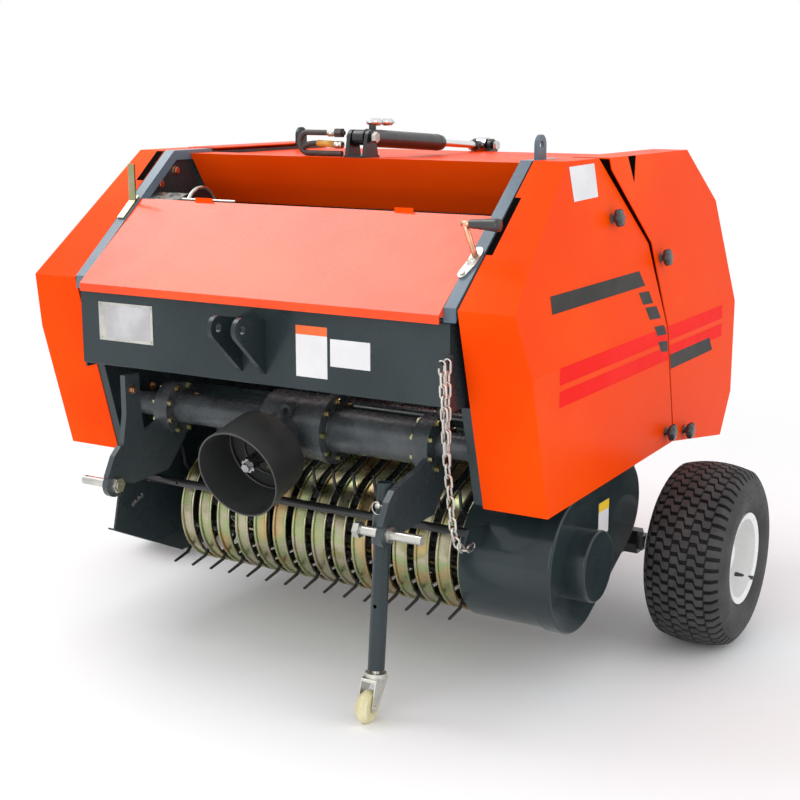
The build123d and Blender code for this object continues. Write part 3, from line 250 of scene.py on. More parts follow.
# Painted shade: a near-black matt finish laid on the covers where their cut-outs and slit show shade.
GAP_SHADE = finish("painted_gap_shade", (0.003, 0.003, 0.003), (0.006, 0.006, 0.006), 3.0, (0.85, 0.95), specular=0.0)
BLACK = finish("black_paint", (0.008, 0.008, 0.009), (0.015, 0.015, 0.016), 5.0, (0.28, 0.42),
               bump=0.00006, grain=400.0, coat=0.2)
CAST = finish("cast_paint", (0.040, 0.047, 0.051), (0.076, 0.085, 0.090), 14.0, (0.22, 0.38),
              bump=0.0009, grain=170.0)
RED_VINYL = finish("red_vinyl", (0.90, 0.012, 0.008), (0.94, 0.018, 0.012), 3.0, (0.3, 0.4), specular=0.02)
GREY_VINYL = finish("grey_vinyl", (0.030, 0.029, 0.027), (0.042, 0.040, 0.037), 3.0, (0.35, 0.45),
                    specular=0.08)
WHITE = finish("white_paint", (0.78, 0.78, 0.77), (0.86, 0.86, 0.85), 6.0, (0.25, 0.4),
               bump=0.00006, grain=300.0)
PLATE = finish("brushed_plate", (0.50, 0.49, 0.50), (0.64, 0.63, 0.64), 14.0, (0.35, 0.5), metal=0.7,
               stretch=(1, 30, 1))
LABEL = finish("blank_label", (0.72, 0.71, 0.72), (0.80, 0.79, 0.80), 9.0, (0.4, 0.5))
ORANGE_BAND = finish("orange_label_band", (0.80, 0.13, 0.03), (0.86, 0.17, 0.05), 9.0, (0.4, 0.5),
                     specular=0.2)
YELLOW_BAND = finish("yellow_label_band", (0.85, 0.55, 0.03), (0.90, 0.62, 0.06), 9.0, (0.4, 0.5),
                     specular=0.2)

# %% [markdown]
# Zinc plate on the bands and on many bolts has a yellow chromate tint that wanders to green and pink. The
# chain, the pins and the small brackets are paler. The cylinder's rod is hard chrome, the shaft and the
# rollers are bare steel, and a few bolts are plated with copper.

# %% Metals
GOLD_ZINC = finish("yellow_zinc", (0.42, 0.28, 0.15), (0.48, 0.36, 0.16), 7.0, (0.22, 0.38),
                   bump=0.00008, grain=500.0, metal=1.0,
                   between=((0.46, 0.36, 0.18), (0.34, 0.39, 0.20), (0.44, 0.40, 0.29), (0.31, 0.30, 0.15)))
PALE_ZINC = finish("pale_zinc", (0.50, 0.50, 0.47), (0.68, 0.67, 0.61), 12.0, (0.25, 0.45),
                   bump=0.00008, grain=500.0, metal=1.0)
STEEL = finish("turned_steel", (0.32, 0.32, 0.33), (0.50, 0.50, 0.51), 20.0, (0.22, 0.4),
               bump=0.00005, grain=700.0, metal=1.0)
CHROME = finish("hard_chrome", (0.72, 0.73, 0.75), (0.80, 0.81, 0.83), 8.0, (0.06, 0.12), metal=1.0)
COPPER = finish("coppered_bolts", (0.62, 0.30, 0.18), (0.80, 0.46, 0.30), 30.0, (0.25, 0.4), metal=1.0)

# %% [markdown]
# Rubber is never quite black: dust and mould release grey it, and it is rough. Deep in the tread the
# shade is painted: its colour is scaled down there by an attribute that the tyre's own mesh carries. The
# caster is cast nylon with a yellowish tint, and the knobs and the grip are glossy black plastic.


# %% Rubber and plastic
def paint_shade(material, attribute, share):
    """Painted shade: base colour times 1 - share * attribute, for places that lie deep in a surface."""
    tree = material.node_tree
    shader = tree.nodes["Principled BSDF"]
    colour = shader.inputs["Base Color"].links[0].from_socket
    depth = add_node(tree, "Attribute", attribute_name=attribute).outputs["Fac"]
    keep = add_node(tree, "MapRange", {"Value": depth, "To Min": 1.0, "To Max": 1.0 - share})
    scaled = add_node(tree, "VectorMath", {0: colour, "Scale": keep.outputs["Result"]}, operation="SCALE")
    set_inputs(tree, shader, {"Base Color": scaled.outputs["Vector"]})


TYRE = finish("tyre_rubber", (0.040, 0.040, 0.041), (0.058, 0.058, 0.059), 18.0, (0.55, 0.72),
              bump=0.00012, grain=420.0, specular=0.25)
# Painted shade in the tread's grooves, scaled by their depth.
paint_shade(TYRE, "groove", 0.85)
HOSE = finish("hose_rubber", (0.035, 0.028, 0.024), (0.060, 0.048, 0.042), 25.0, (0.45, 0.6),
              bump=0.0003, grain=900.0)
NYLON = finish("cream_nylon", (0.62, 0.56, 0.30), (0.74, 0.69, 0.44), 22.0, (0.3, 0.45), coat=0.2)
SHIELD = finish("shield_plastic", (0.030, 0.031, 0.031), (0.044, 0.045, 0.045), 9.0, (0.34, 0.46),
                specular=0.3)
PLASTIC = finish("black_plastic", (0.024, 0.024, 0.025), (0.038, 0.038, 0.039), 9.0, (0.28, 0.42), coat=0.2)
AMBER = finish("amber_sleeve", (0.60, 0.25, 0.03), (0.72, 0.36, 0.06), 30.0, (0.4, 0.5))

# %% [markdown]
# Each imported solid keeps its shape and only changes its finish. A table says which finish each one wears.


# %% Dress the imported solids
def both(*names):
    """The solids of the right and the left hand."""
    return tuple(f"{name}_{hand}" for name in names for hand, _ in HANDS)


WEARS = {
    GLOSS: ("hood",),
    CASE: ("pickup_drive",),
    ARM_LIT: both("hitch_arm"),
    ORANGE: ("top_panel", "gate_shell", *both("front_cover", "rear_cover")),
    RAIL: both("rail"),
    SLATE: ("front_beam", "top_clevis", "cross_tubes", "pickup_plate", "support_leg",
            *both("side_plate", "gate_plate")),
    BLACK: ("axle", "pickup_reel", "pickup_front_bar", "cylinder_bracket", "gate_bracket",
            "cylinder_barrel"),
    SHIELD: ("pto_shield",),
    CAST: ("gearbox",),
    GOLD_ZINC: ("stripper_bands", "lever_left", "crank_right"),
    PALE_ZINC: ("hitch_pins", "caster_fork", "chain", "twine_tier"),
    STEEL: ("pto_shaft", "rollers_front", "rollers_gate"),
    CHROME: ("cylinder_rod",),
    TYRE: both("tyre"),
    WHITE: both("rim"),
    NYLON: ("caster_wheel",),
    HOSE: ("hoses",),
}
for wears, names in WEARS.items():
    for name in names:
        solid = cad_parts[name]
        solid.data.materials.clear()
        solid.data.materials.append(wears)
print("dressed", sum(len(names) for names in WEARS.values()), "solids")

# %% [markdown]
# New pieces are grids of points. A grid has rows and columns, and its faces join each point to the next in
# both directions, closing round where the shape closes. Several grids can share one mesh.


# %% Grids and pieces
def grid_faces(rows, cols, close_rows=False, close_cols=False):
    """Quads over a rows by cols grid: corner (i, j) joins (i + 1, j), (i + 1, j + 1) and (i, j + 1)."""
    i = np.arange(rows if close_rows else rows - 1)
    j = np.arange(cols if close_cols else cols - 1)
    i, j = np.meshgrid(i, j, indexing="ij")
    i2, j2 = (i + 1) % rows, (j + 1) % cols
    quads = np.stack([i * cols + j, i2 * cols + j, i2 * cols + j2, i * cols + j2], axis=-1)
    return quads.reshape(-1, 4)


def piece(name, points, faces, wears, body, smooth=True):
    """Makes a mesh object from points in metres and faces of any length, and lets it ride on a body."""
    mesh = bpy.data.meshes.new(name)
    points = np.asarray(points, dtype=np.float32).reshape(-1, 3)
    loops = np.concatenate(list(faces))
    counts = np.array([len(face) for face in faces])
    mesh.vertices.add(len(points))
    mesh.vertices.foreach_set("co", points.ravel())
    mesh.loops.add(len(loops))
    mesh.loops.foreach_set("vertex_index", loops.astype(np.int32))
    mesh.polygons.add(len(counts))
    mesh.polygons.foreach_set("loop_start", np.concatenate([[0], np.cumsum(counts)[:-1]]).astype(np.int32))
    mesh.polygons.foreach_set("loop_total", counts.astype(np.int32))
    mesh.polygons.foreach_set("use_smooth", np.full(len(counts), smooth))
    mesh.update(calc_edges=True)
    mesh.validate()
    mesh.materials.append(wears)
    obj = bpy.data.objects.new(name, mesh)
    bpy.context.scene.collection.objects.link(obj)
    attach(obj, body)
    print(name, len(counts), "faces")
    return obj


def repeat_faces(faces, size, times):
    """The quads of a shape with so many points, for copies of it that follow each other in one mesh."""
    return (faces + size * np.arange(times)[:, None, None]).reshape(-1, 4)


def join(parts):
    """Several (points, faces) in one pair, with each part's face numbers moved past the earlier points."""
    firsts = np.cumsum([0] + [len(points) for points, _ in parts[:-1]])
    return (np.concatenate([points for points, _ in parts]),
            np.concatenate([faces + first for (_, faces), first in zip(parts, firsts)]))


def stamp(template, faces, centres, across, up):
    """Copies one small shape to many places: local x, y and z turn to across, up x across and up."""
    across = across / np.linalg.norm(across, axis=-1, keepdims=True)
    up = up / np.linalg.norm(up, axis=-1, keepdims=True)
    side = np.cross(up, across)
    points = (centres[:, None, :] + template[None, :, 0:1] * across[:, None, :]
              + template[None, :, 1:2] * side[:, None, :] + template[None, :, 2:3] * up[:, None, :])
    return points.reshape(-1, 3), repeat_faces(faces, len(template), len(centres))


# %% [markdown]
# A lathe turns a profile round an axis. The profile is a list of radii and heights; where it meets the axis
# the ring shrinks to a hair, a hundredth of a millimetre, so that the shape stays closed. A turned shape can
# then be laid at a place on the drawing, growing along a direction that isn't upright.

# %% The lathe
HAIR = 1e-5


def lathe(profile_mm, sides):
    """Points (r cos a, r sin a, h) for each profile point and angle, in metres, and the quads between."""
    profile = np.asarray(profile_mm, float) / 1000
    angle = full_turn(sides)
    r, h = np.maximum(profile[:, 0:1], HAIR), profile[:, 1:2]
    points = np.stack([r * np.cos(angle), r * np.sin(angle), h + 0 * angle], axis=-1).reshape(-1, 3)
    return points, grid_faces(len(profile), sides, close_cols=True)[:, ::-1]


def turned(profile_mm, x, s, z, direction, sides=28, across=(0.0, 0.0, 1.0)):
    """A lathe shape that starts at a place and grows along a direction; its first side looks across."""
    shape, faces = lathe(profile_mm, sides)
    up, across = np.array([direction], float), np.array([across])
    return stamp(shape, faces, place([x], s, z), across - up * (across @ up.T), up)


# %% [markdown]
# Small bolts are everywhere. One bolt is a washer with a six-sided head, turned from one profile of six
# sides, and all bolts of a group are stamped in one go, each with its own direction. A bolt's size is the
# width across its flats, the height of its head and the radius of its washer.


# %% Bolts
def bolt_shape(flats, head, washer):
    """Washer ring, then a hexagonal head with a slightly domed end, as one profile over six sides."""
    r = flats / math.sqrt(3)
    return lathe([(0, 0), (washer, 0), (washer, 1.4), (r, 1.5), (r, head - 0.8), (r * 0.86, head),
                  (0, head)], 6)


def bolts(name, rows, wears, body, size):
    """rows hold x, s, z and the direction of the head. The hexagon's turn is any direction square to it."""
    rows = np.asarray(rows, float)
    up = rows[:, 3:6]
    across = np.cross(up, np.where(np.abs(up[:, 0:1]) > 0.9, [[0, 1, 0]], [[1, 0, 0]]))
    heads = stamp(*bolt_shape(*size), placed(rows[:, :3]), across, up)
    piece(name, *heads, wears, body, smooth=False)


def ring_of_bolts(x, s, z, radius, count, axis, start=0.0):
    """Rows for bolts on a circle in a plane square to X, with heads pointing along axis."""
    angle = np.radians(start + 360.0 * np.arange(count) / count)
    rows = np.zeros((count, 6))
    rows[:, 0] = x
    rows[:, 1:3] = circle(angle, radius, (s, z))
    rows[:, 3] = axis
    return rows


# %% [markdown]
# A turf tyre has wavy lugs in bands round the wheel. Each lug has a step in its middle, so that the grooves
# between lugs climb and fall like a staircase. The grid follows that staircase: its rows are shifted round
# the wheel by the same step, so every groove has clean edges with few points. The phases say where the six
# rows of a lug stand, and the cuts which of them lie in the groove. The grooves are pressed into the packed
# tyre's outline and never rise above it. Their depth is kept as the attribute that paints shade into them.

# %% Turf tyre
AXLE_S, AXLE_Z = 774, 228.7
TYRE_MID, TYRE_R, SEAT_R = 829, 228.7, 102.3
TREAD_HALF, CROWN_DROP, SHOULDER_R = 79, 12, 200
LUGS, LANE = 50, 42
GROOVE, RING_GROOVE = 8, 3
STEP_FROM, STEP_WIDTH, STEP_TURN = 0.41, 0.18, 0.60
GROOVE_PHASES = np.array([-0.19, -0.14, 0.14, 0.19, 0.38, 0.62])
GROOVE_CUTS = np.array([0, 1, 1, 0, 0, 0])


def arc3(a, b, c, count):
    """Points of the circle through three points, whose centre is equally far from all of them."""
    a, b, c = (np.asarray(p, float) for p in (a, b, c))
    centre = np.linalg.solve(2 * np.array([b - a, c - a]), [b @ b - a @ a, c @ c - a @ a])
    start, _, end = np.unwrap([math.atan2(*(p - centre)[::-1]) for p in (a, b, c)])
    return circle(np.linspace(start, end, count), np.linalg.norm(a - centre), centre)


def tread_columns():
    """Places across the crown: close together at the lanes' borders and at the step in each lane."""
    share = np.array([0, 0.03, 0.05, 0.2, 0.36, 0.42, 0.47, 0.53, 0.58, 0.64, 0.8, 0.95, 0.97])
    lanes = np.arange(-3, 3)[:, None]
    x = ((lanes + share) * LANE + LANE / 2).ravel()
    return np.concatenate([[-TREAD_HALF], x[np.abs(x) < TREAD_HALF - 1], [TREAD_HALF]])


def staircase(x):
    """Share of a lug by which each place is shifted: a smooth step 3 t^2 - 2 t^3 in the middle of a lane."""
    lane = x / LANE + 0.5
    t = np.clip((lane - np.floor(lane) - STEP_FROM) / STEP_WIDTH, 0, 1)
    return STEP_TURN * t * t * (3 - 2 * t) * (np.abs(x) < TREAD_HALF + 1)


def groove_depth(x, r, cuts):
    """The deep cuts between lugs and the shallow rings on the lanes' borders, above the shoulder only."""
    lane = x / LANE + 0.5
    rings = np.clip((0.05 - np.abs(lane - np.round(lane))) / 0.02, 0, 1) * (np.abs(x) < TREAD_HALF - 1)
    on_tread = np.clip((r - SHOULDER_R) / 5, 0, 1)
    return on_tread * np.maximum(GROOVE * cuts, RING_GROOVE * rings)


def wall_ribs(x, r):
    """Two low ribs round each wall, as bell curves over the radius that point away from the middle."""
    ribs = 1.2 * np.exp(-(((r - 150) / 2) ** 2)) + 1 * np.exp(-(((r - 190) / 2.5) ** 2))
    return 0.6 * np.sign(x) * (np.abs(x) > 88) * ribs


def turf_tyre(name, sign, body):
    """Grid of angle by outline: radius less the groove depth, and angle shifted by the staircase."""
    wall_in = arc3((-91, 117), (-103, 166.7), (-TREAD_HALF, 216.7), 20)
    wall_out = wall_in[::-1] * np.array([-1, 1])
    crown_x = tread_columns()
    crown = np.stack([crown_x, TYRE_R - (crown_x / TREAD_HALF) ** 2 * CROWN_DROP], -1)
    outline = np.concatenate([[(-TREAD_HALF, SEAT_R)], wall_in, crown[1:-1], wall_out,
                              [(TREAD_HALF, SEAT_R)]])
    x, r = outline[None, :, 0], outline[None, :, 1]
    turn = (np.arange(LUGS)[:, None] + GROOVE_PHASES).reshape(-1, 1)
    depth = groove_depth(x, r, np.tile(GROOVE_CUTS, LUGS)[:, None])
    a = 2 * np.pi * (turn + staircase(x) * sign) / LUGS
    points = place(sign * (TYRE_MID + x + wall_ribs(x, r)),
                   AXLE_S + (r - depth) * np.cos(a), AXLE_Z + (r - depth) * np.sin(a))
    faces = grid_faces(len(turn), len(outline), close_rows=True, close_cols=True)
    made = piece(name, points, faces[:, ::-1] if sign > 0 else faces, TYRE, body)
    made.data.set_sharp_from_angle(angle=math.radians(32))
    # The groove depth as a share, which the rubber uses to paint shade into the grooves.
    groove = made.data.attributes.new("groove", "FLOAT", "POINT")
    groove.data.foreach_set("value", (depth / GROOVE).ravel().astype(np.float32))
    return made


for hand, sign in HANDS:
    tyre = turf_tyre(f"turf_tyre_{hand}", sign, f"wheel_{hand}")
    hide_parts(f"tyre_{hand}")

# %% [markdown]
# The pressed wheel disc is held by five nuts and the rim carries a rubber valve stem. Both are small lathe
# shapes on the outer side of each wheel.

# %% Wheel nuts and valves
NUT_X, NUT_RING = TYRE_MID + 27, 50
VALVE_X, VALVE_OFF = TYRE_MID + 50, 72
VALVE = [(0, 0), (8, 0), (7.5, 8), (6, 20), (4, 24), (4, 34), (4.8, 35), (4.8, 46), (0, 46)]
for hand, sign in HANDS:
    nuts = ring_of_bolts(sign * NUT_X, AXLE_S, AXLE_Z, NUT_RING, 5, sign, 18)
    bolts(f"wheel_nuts_{hand}", nuts, PALE_ZINC, f"wheel_{hand}", (19, 12, 15))
    stem = turned(VALVE, sign * VALVE_X, AXLE_S + VALVE_OFF, AXLE_Z - VALVE_OFF, (sign, 0, 0), 14,
                  across=(0, 1, 0))
    piece(f"valve_{hand}", *stem, PLASTIC, f"wheel_{hand}")

# %% [markdown]
# The pickup bands are strips with a raised bead along each edge. A bead is a small half-round profile that
# is carried along the band's path: the flat foot, the hoop round the reel, and the straight run to the
# throat. The beads are tall enough to make each band look hollow.

# %% Beaded pickup bands
REEL_S, REEL_Z, HOOP_R = 336, 300, 150
BAND_LEFT, BAND_PITCH, BAND_WIDTH, BAND_COUNT = -374, 57.7, 38, 15
FOOT_RUN, THROAT_RUN, THROAT_ANGLE = 198, 203, 110
BEAD_HALF, BEAD_RISE, BEAD_BASE, BEAD_FOOT, BEAD_INSET = 3.6, 3.4, 1.6, -2.6, 2.6


def band_path():
    """Stations, heights and outward directions along one band: line, arc round the reel, line."""
    arc = np.radians(np.linspace(270, THROAT_ANGLE, 48))
    foot = np.stack([np.linspace(REEL_S + FOOT_RUN, REEL_S, 8), np.full(8, REEL_Z - HOOP_R)], -1)[:-1]
    hoop = circle(arc, HOOP_R, (REEL_S, REEL_Z))
    run = hoop[-1] + np.linspace(0, THROAT_RUN, 8)[1:, None] * np.array([np.sin(arc[-1]), -np.cos(arc[-1])])
    outward = circle(np.concatenate([np.full(len(foot), arc[0]), arc, np.full(len(run), arc[-1])]))
    return np.concatenate([foot, hoop, run]), outward


def beads():
    """Two half-round beads on every band: the profile is (across, outward) and the path gives the rest."""
    path, outward = band_path()
    dome = circle(np.linspace(0, np.pi, 7)) * [BEAD_HALF, BEAD_RISE] + [0, BEAD_BASE]
    bead = np.concatenate([dome, [[-BEAD_HALF, BEAD_FOOT], [BEAD_HALF, BEAD_FOOT]]])
    lefts = BAND_LEFT + BAND_PITCH * np.arange(BAND_COUNT)
    middles = np.concatenate([lefts + BEAD_INSET, lefts + BAND_WIDTH - BEAD_INSET])
    x = middles[:, None, None] + bead[:, 0]
    s, z = (path[:, k:k + 1] + outward[:, k:k + 1] * bead[:, 1] for k in (0, 1))
    faces = grid_faces(len(path), len(bead), close_cols=True)
    return place(x, s, z), repeat_faces(faces, len(path) * len(bead), len(middles))


piece("band_beads", *beads(), GOLD_ZINC, "frame")

# %% [markdown]
# A tube follows a path of points. At each point a small circle stands square to the path; the circle's two
# directions come from the path's tangent and one fixed reference, so the tube doesn't twist.


# %% Tubes along a path
def smooth_path(points_mm, per_leg=8):
    """A curve through the given x, s, z points: between two points it blends with its neighbours' slopes."""
    p = np.asarray(points_mm, float)
    before = np.concatenate([p[:1] * 2 - p[1:2], p, p[-1:] * 2 - p[-2:-1]])
    t = np.linspace(0, 1, per_leg, endpoint=False)[None, :, None]
    p0, p1, p2, p3 = (before[k:len(before) - 3 + k, None, :] for k in range(4))
    curve = 0.5 * (2 * p1 + (p2 - p0) * t + (2 * p0 - 5 * p1 + 4 * p2 - p3) * t ** 2
                   + (3 * p1 - p0 - 3 * p2 + p3) * t ** 3)
    return np.concatenate([curve.reshape(-1, 3), p[-1:]])


def tube(path_mm, radius, reference, sides=12, closed=False):
    """Circle points centre + r cos a n + r sin a b at each path point, with capped ends on an open path."""
    path = placed(path_mm)
    if closed:
        tangent = np.roll(path, -1, axis=0) - np.roll(path, 1, axis=0)
    else:
        tangent = np.gradient(path, axis=0)
    tangent /= np.linalg.norm(tangent, axis=1, keepdims=True)
    b = np.cross(tangent, np.asarray(reference, float))
    b /= np.linalg.norm(b, axis=1, keepdims=True)
    n = np.cross(b, tangent)
    radii = np.full(len(path), radius / 1000)
    if not closed:
        path, n, b = (np.concatenate([v[:1], v, v[-1:]]) for v in (path, n, b))
        radii = np.concatenate([[HAIR], radii, [HAIR]])
    a = full_turn(sides)[None, :, None]
    around = np.cos(a) * n[:, None, :] + np.sin(a) * b[:, None, :]
    points = path[:, None, :] + radii[:, None, None] * around
    return points.reshape(-1, 3), grid_faces(len(path), sides, close_rows=closed, close_cols=True)


# %% [markdown]
# The chain's links are welded round wire. A link is a tube along an oval, and the ovals sit at the same
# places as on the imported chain, each turned a quarter turn to its neighbour.

# %% Round chain links
CHAIN_X, HOOK_TOP_Z = 513, 815.5
LONG_STRAND = [(-38, HOOK_TOP_Z), (-18, 620), (16, 440), (34, 405), (62, 383),
               (90, 378), (111.5, 380)]
SHORT_STRAND = [(-14, HOOK_TOP_Z), (-13, 590)]
LINK_LENGTH, LINK_WIRE, LINK_GAP = 37, 5, 0.3


def link_frames(strand, count):
    """Centres and directions at equal steps along a strand, by interpolating over its running length."""
    points = np.array(strand, float)
    legs = np.diff(points, axis=0)
    lengths = np.linalg.norm(legs, axis=1)
    run = np.concatenate([[0], np.cumsum(lengths)])
    end = LINK_LENGTH / 2 - LINK_WIRE - LINK_GAP
    at = end + (run[-1] - 2 * end) * np.arange(count) / (count - 1)
    leg = np.clip(np.searchsorted(run, at, side="left") - 1, 0, len(legs) - 1)
    along = legs[leg] / lengths[leg][:, None]
    return points[leg] + along * (at - run[leg])[:, None], along


def chain_links():
    """An oval of two half circles and two straights, carried by a tube and turned into each link's frame."""
    cap = circle(np.linspace(-np.pi / 2, np.pi / 2, 9), 7.5, (8.5, 0))
    oval = np.concatenate([cap, -cap])
    ring, faces = tube(np.column_stack([oval, 0 * oval[:, 0]]), 2.6, (0, 0, 1), sides=8, closed=True)
    ring = ring - np.array([0, NOSE_Y, 0])
    centres, across, up = [], [], []
    for strand, count in ((LONG_STRAND, 20), (SHORT_STRAND, 9)):
        mid, along = link_frames(strand, count)
        along3 = np.column_stack([0 * along[:, 0], along])
        odd = (np.arange(count) % 2 == 1)[:, None]
        centres.append(place(CHAIN_X, mid[:, 0], mid[:, 1]))
        across.append(along3)
        up.append(np.where(odd, [[1, 0, 0]], np.cross(along3, [[1, 0, 0]])))
    return stamp(ring, faces, np.concatenate(centres), np.concatenate(across), np.concatenate(up))


chain = piece("chain_links", *chain_links(), PALE_ZINC, "frame")
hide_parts("chain")

# %% [markdown]
# Stripes are cut vinyl on the side covers. A stripe is a flat outline in stations and heights. It is cut at
# the fold, laid on the cover's outer face, which leans in above the fold, and lifted by about half a
# millimetre. The left side wears the same stripes.

# %% Vinyl stripes
FOLD_Z, COVER_OUT, ROOF_Z = 782, 683.5, 1209
COVER_TOP = {"front": 607.5, "rear": 622}
SPLIT_Z, SPLIT_S = (473, 533, 995, 1209), (880, 873, 760, 528)


def cover_x(z, which):
    """The cover's outer face: upright below the fold, and a straight lean to the roof above it."""
    lean_in = (COVER_OUT - COVER_TOP[which]) * (z - FOLD_Z) / (ROOF_Z - FOLD_Z)
    return COVER_OUT - np.maximum(lean_in, 0)


def cut_at_fold(outline):
    """Splits an outline into the part below and above the fold, by walking its edges."""
    outline = np.asarray(outline, float)
    following = np.roll(outline, -1, axis=0)
    parts = []
    for keep_low in (True, False):
        kept = []
        for a, b in zip(outline, following):
            inside_a = (a[1] <= FOLD_Z) == keep_low
            inside_b = (b[1] <= FOLD_Z) == keep_low
            if inside_a:
                kept.append(a)
            if inside_a != inside_b:
                kept.append(a + (b - a) * (FOLD_Z - a[1]) / (b[1] - a[1]))
        if len(kept) > 2:
            parts.append(np.array(kept))
    return parts


def vinyl(name, outlines, which, wears, lift=0.35):
    """Faces from outlines, one of each hand, riding on that hand's cover."""
    for hand, sign in HANDS:
        points, faces = [], []
        for outline in outlines:
            for part in cut_at_fold(outline):
                order = part if sign > 0 else part[::-1]
                first = sum(len(p) for p in points)
                x = sign * (cover_x(order[:, 1], which) + lift)
                points.append(place(x, order[:, 0], order[:, 1]))
                faces.append(np.arange(len(order)) + first)
        piece(f"{name}_{hand}", np.concatenate(points), faces, wears, f"{which}_cover_{hand}", smooth=False)


def split_ends(z0, z1, shift):
    """Stations of the line between the covers at two heights, moved by a shift."""
    return np.interp([z0, z1], SPLIT_Z, SPLIT_S) + shift


def bar(z0, z1, s0, s1):
    """A four-sided outline: lower left, lower right, upper right, upper left, ends as (low, high) pairs."""
    return [(s0[0], z0), (s1[0], z0), (s1[1], z1), (s0[1], z1)]


RED_ROWS = ((697, 733), (746, 784))
RED_NOSE = ((172, 172), (173, 173))
RED_TAIL = ((1243, 1243), (1241, 1240))
GREY_STEPS = [[(658, 886), (723, 883), (741, 852), (676, 855)],
              [(687, 847), (759, 842), (778, 810), (705, 815)],
              [(726, 795), (791, 791), (810, 765), (744, 770)],
              [(753, 754), (816, 748), (823, 720), (776, 725)]]
red_front = [bar(*row, nose, split_ends(*row, -3)) for row, nose in zip(RED_ROWS, RED_NOSE)]
red_rear = [bar(*row, split_ends(*row, 11), tail) for row, tail in zip(RED_ROWS, RED_TAIL)]
grey_front = [bar(898, 936, (171, 173), (705, 678)), *GREY_STEPS]
grey_rear = [bar(670, 708, split_ends(670, 708, 10), (1169, 1140))]
blank_note = [[(359, 1121), (493, 1124), (496, 1199), (357, 1197)]]
vinyl("red_stripes_front", red_front, "front", RED_VINYL)
vinyl("red_stripes_rear", red_rear, "rear", RED_VINYL)
vinyl("grey_bar_front", grey_front, "front", GREY_VINYL, 0.6)
vinyl("grey_bar_rear", grey_rear, "rear", GREY_VINYL, 0.6)
vinyl("blank_note", blank_note, "front", LABEL, 0.5)

# %% [markdown]
# Star knobs hold the covers shut. A knob is a lathe shape whose radius swells six times round; its stem
# stands on the cover and points along the cover's outward direction. The profile's ends shrink to the axis.

# %% Star knobs
KNOBS = {"front": [(557, 1069), (832, 510)], "rear": [(815, 954), (968, 487)]}


def knob_shape():
    """Radius r (1 + 0.13 w cos 6a) with w from 0 on the stem to 1 on the head, over a lathe's profile."""
    profile = np.array([(0, 0, 0), (12, 0, 0), (12, 2, 0), (8, 4, 0), (8, 9, 0), (15, 11, 0.5),
                        (19, 14, 1), (20.5, 18, 1), (20, 23, 1), (17, 26.5, 1), (10, 28, 0.4), (0, 28.3, 0)])
    a = full_turn(48)
    r = np.maximum(profile[:, 0:1] * (1 + 0.13 * profile[:, 2:3] * np.cos(6 * a)) / 1000, HAIR)
    points = np.stack([r * np.cos(a), r * np.sin(a), profile[:, 1:2] / 1000 + 0 * r], -1)
    return points.reshape(-1, 3), grid_faces(len(profile), 48, close_cols=True)[:, ::-1]


for which, spots in KNOBS.items():
    spots = np.array(spots)
    lean = np.arctan2(COVER_OUT - COVER_TOP[which], ROOF_Z - FOLD_Z) * (spots[:, 1] > FOLD_Z)
    for hand, sign in HANDS:
        centres = place(sign * (cover_x(spots[:, 1], which) - 0.5), spots[:, 0], spots[:, 1])
        up = np.stack([sign * np.cos(lean), 0 * lean, np.sin(lean)], -1)
        across = np.tile([[0, 1, 0]], (len(spots), 1))
        knobs = stamp(*knob_shape(), centres, across, up)
        piece(f"star_knobs_{which}_{hand}", *knobs, PLASTIC, f"{which}_cover_{hand}")

# %% [markdown]
# The beam carries a thin aluminium plate and two paper labels, all blank. The plate is held by four rivets;
# its edge catches light because a bevel rounds it. Plates and labels are flat boxes.

# %% Plates and labels on the beam
BOX_FACES = np.array([[0, 1, 2, 3], [7, 6, 5, 4], [4, 5, 1, 0], [5, 6, 2, 1], [6, 7, 3, 2], [7, 4, 0, 3]])


def block(x0, x1, s0, s1, z0, z1):
    """A box between two corners: four points in front, four behind, and the six faces between them."""
    return place([x0, x1, x1, x0] * 2, [s0] * 4 + [s1] * 4, [z0, z0, z1, z1] * 2), BOX_FACES


def flat_plate(name, x0, x1, z0, z1, s, thick, wears, bevel=0):
    """A thin box in front of a plane square to the nose, with a live bevel where it is a metal plate."""
    made = piece(name, *block(x0, x1, s - thick, s, z0, z1), wears, "frame", smooth=False)
    if bevel:
        soft = made.modifiers.new("edge", "BEVEL")
        soft.width = bevel / 1000
        soft.segments = 2


flat_plate("blank_plate", -455, -288, 772, 865, -0.1, 1.2, PALE_ZINC, 0.4)
flat_plate("blank_plate_field", -433, -296, 779, 858, -1.4, 0.2, PLATE)
flat_plate("beam_label_tall", 122, 205, 741, 856, -0.1, 0.4, LABEL)
flat_plate("beam_label_wide", 213, 316, 771, 832, -0.1, 0.4, LABEL)
flat_plate("beam_label_band", 122, 205, 836, 856, -0.6, 0.2, ORANGE_BAND)
rivets = [(x, -1.3, z, 0, -1, 0) for x in (-449, -294) for z in (778, 859)]
bolts("plate_rivets", rivets, PALE_ZINC, "frame", (5, 1.8, 3.2))

# %% [markdown]
# The gearbox's axle tubes end in bolted flanges, and a ring of bolts stands beside the casing. They are
# plated with yellow zinc. The input cover has its own ring of small bolts round the shaft.

# %% Bolts of the drive line
GEAR_S, GEAR_Z = 178, 580
TILT = math.radians(16)
INPUT = np.array([0, -math.cos(TILT), -math.sin(TILT)])
ACROSS = np.array([1, 0, 0])
FLANGES = ((352, -1), (-352, 1), (393, 1), (-393, -1))
flange_rows = [ring_of_bolts(x, GEAR_S, GEAR_Z, 57, 8, axis, 22.5) for x, axis in FLANGES]
flange_rows.append(ring_of_bolts(114, GEAR_S, GEAR_Z, 68, 8, 1))
bolts("flange_bolts", np.concatenate(flange_rows), GOLD_ZINC, "frame", (13, 8, 10))


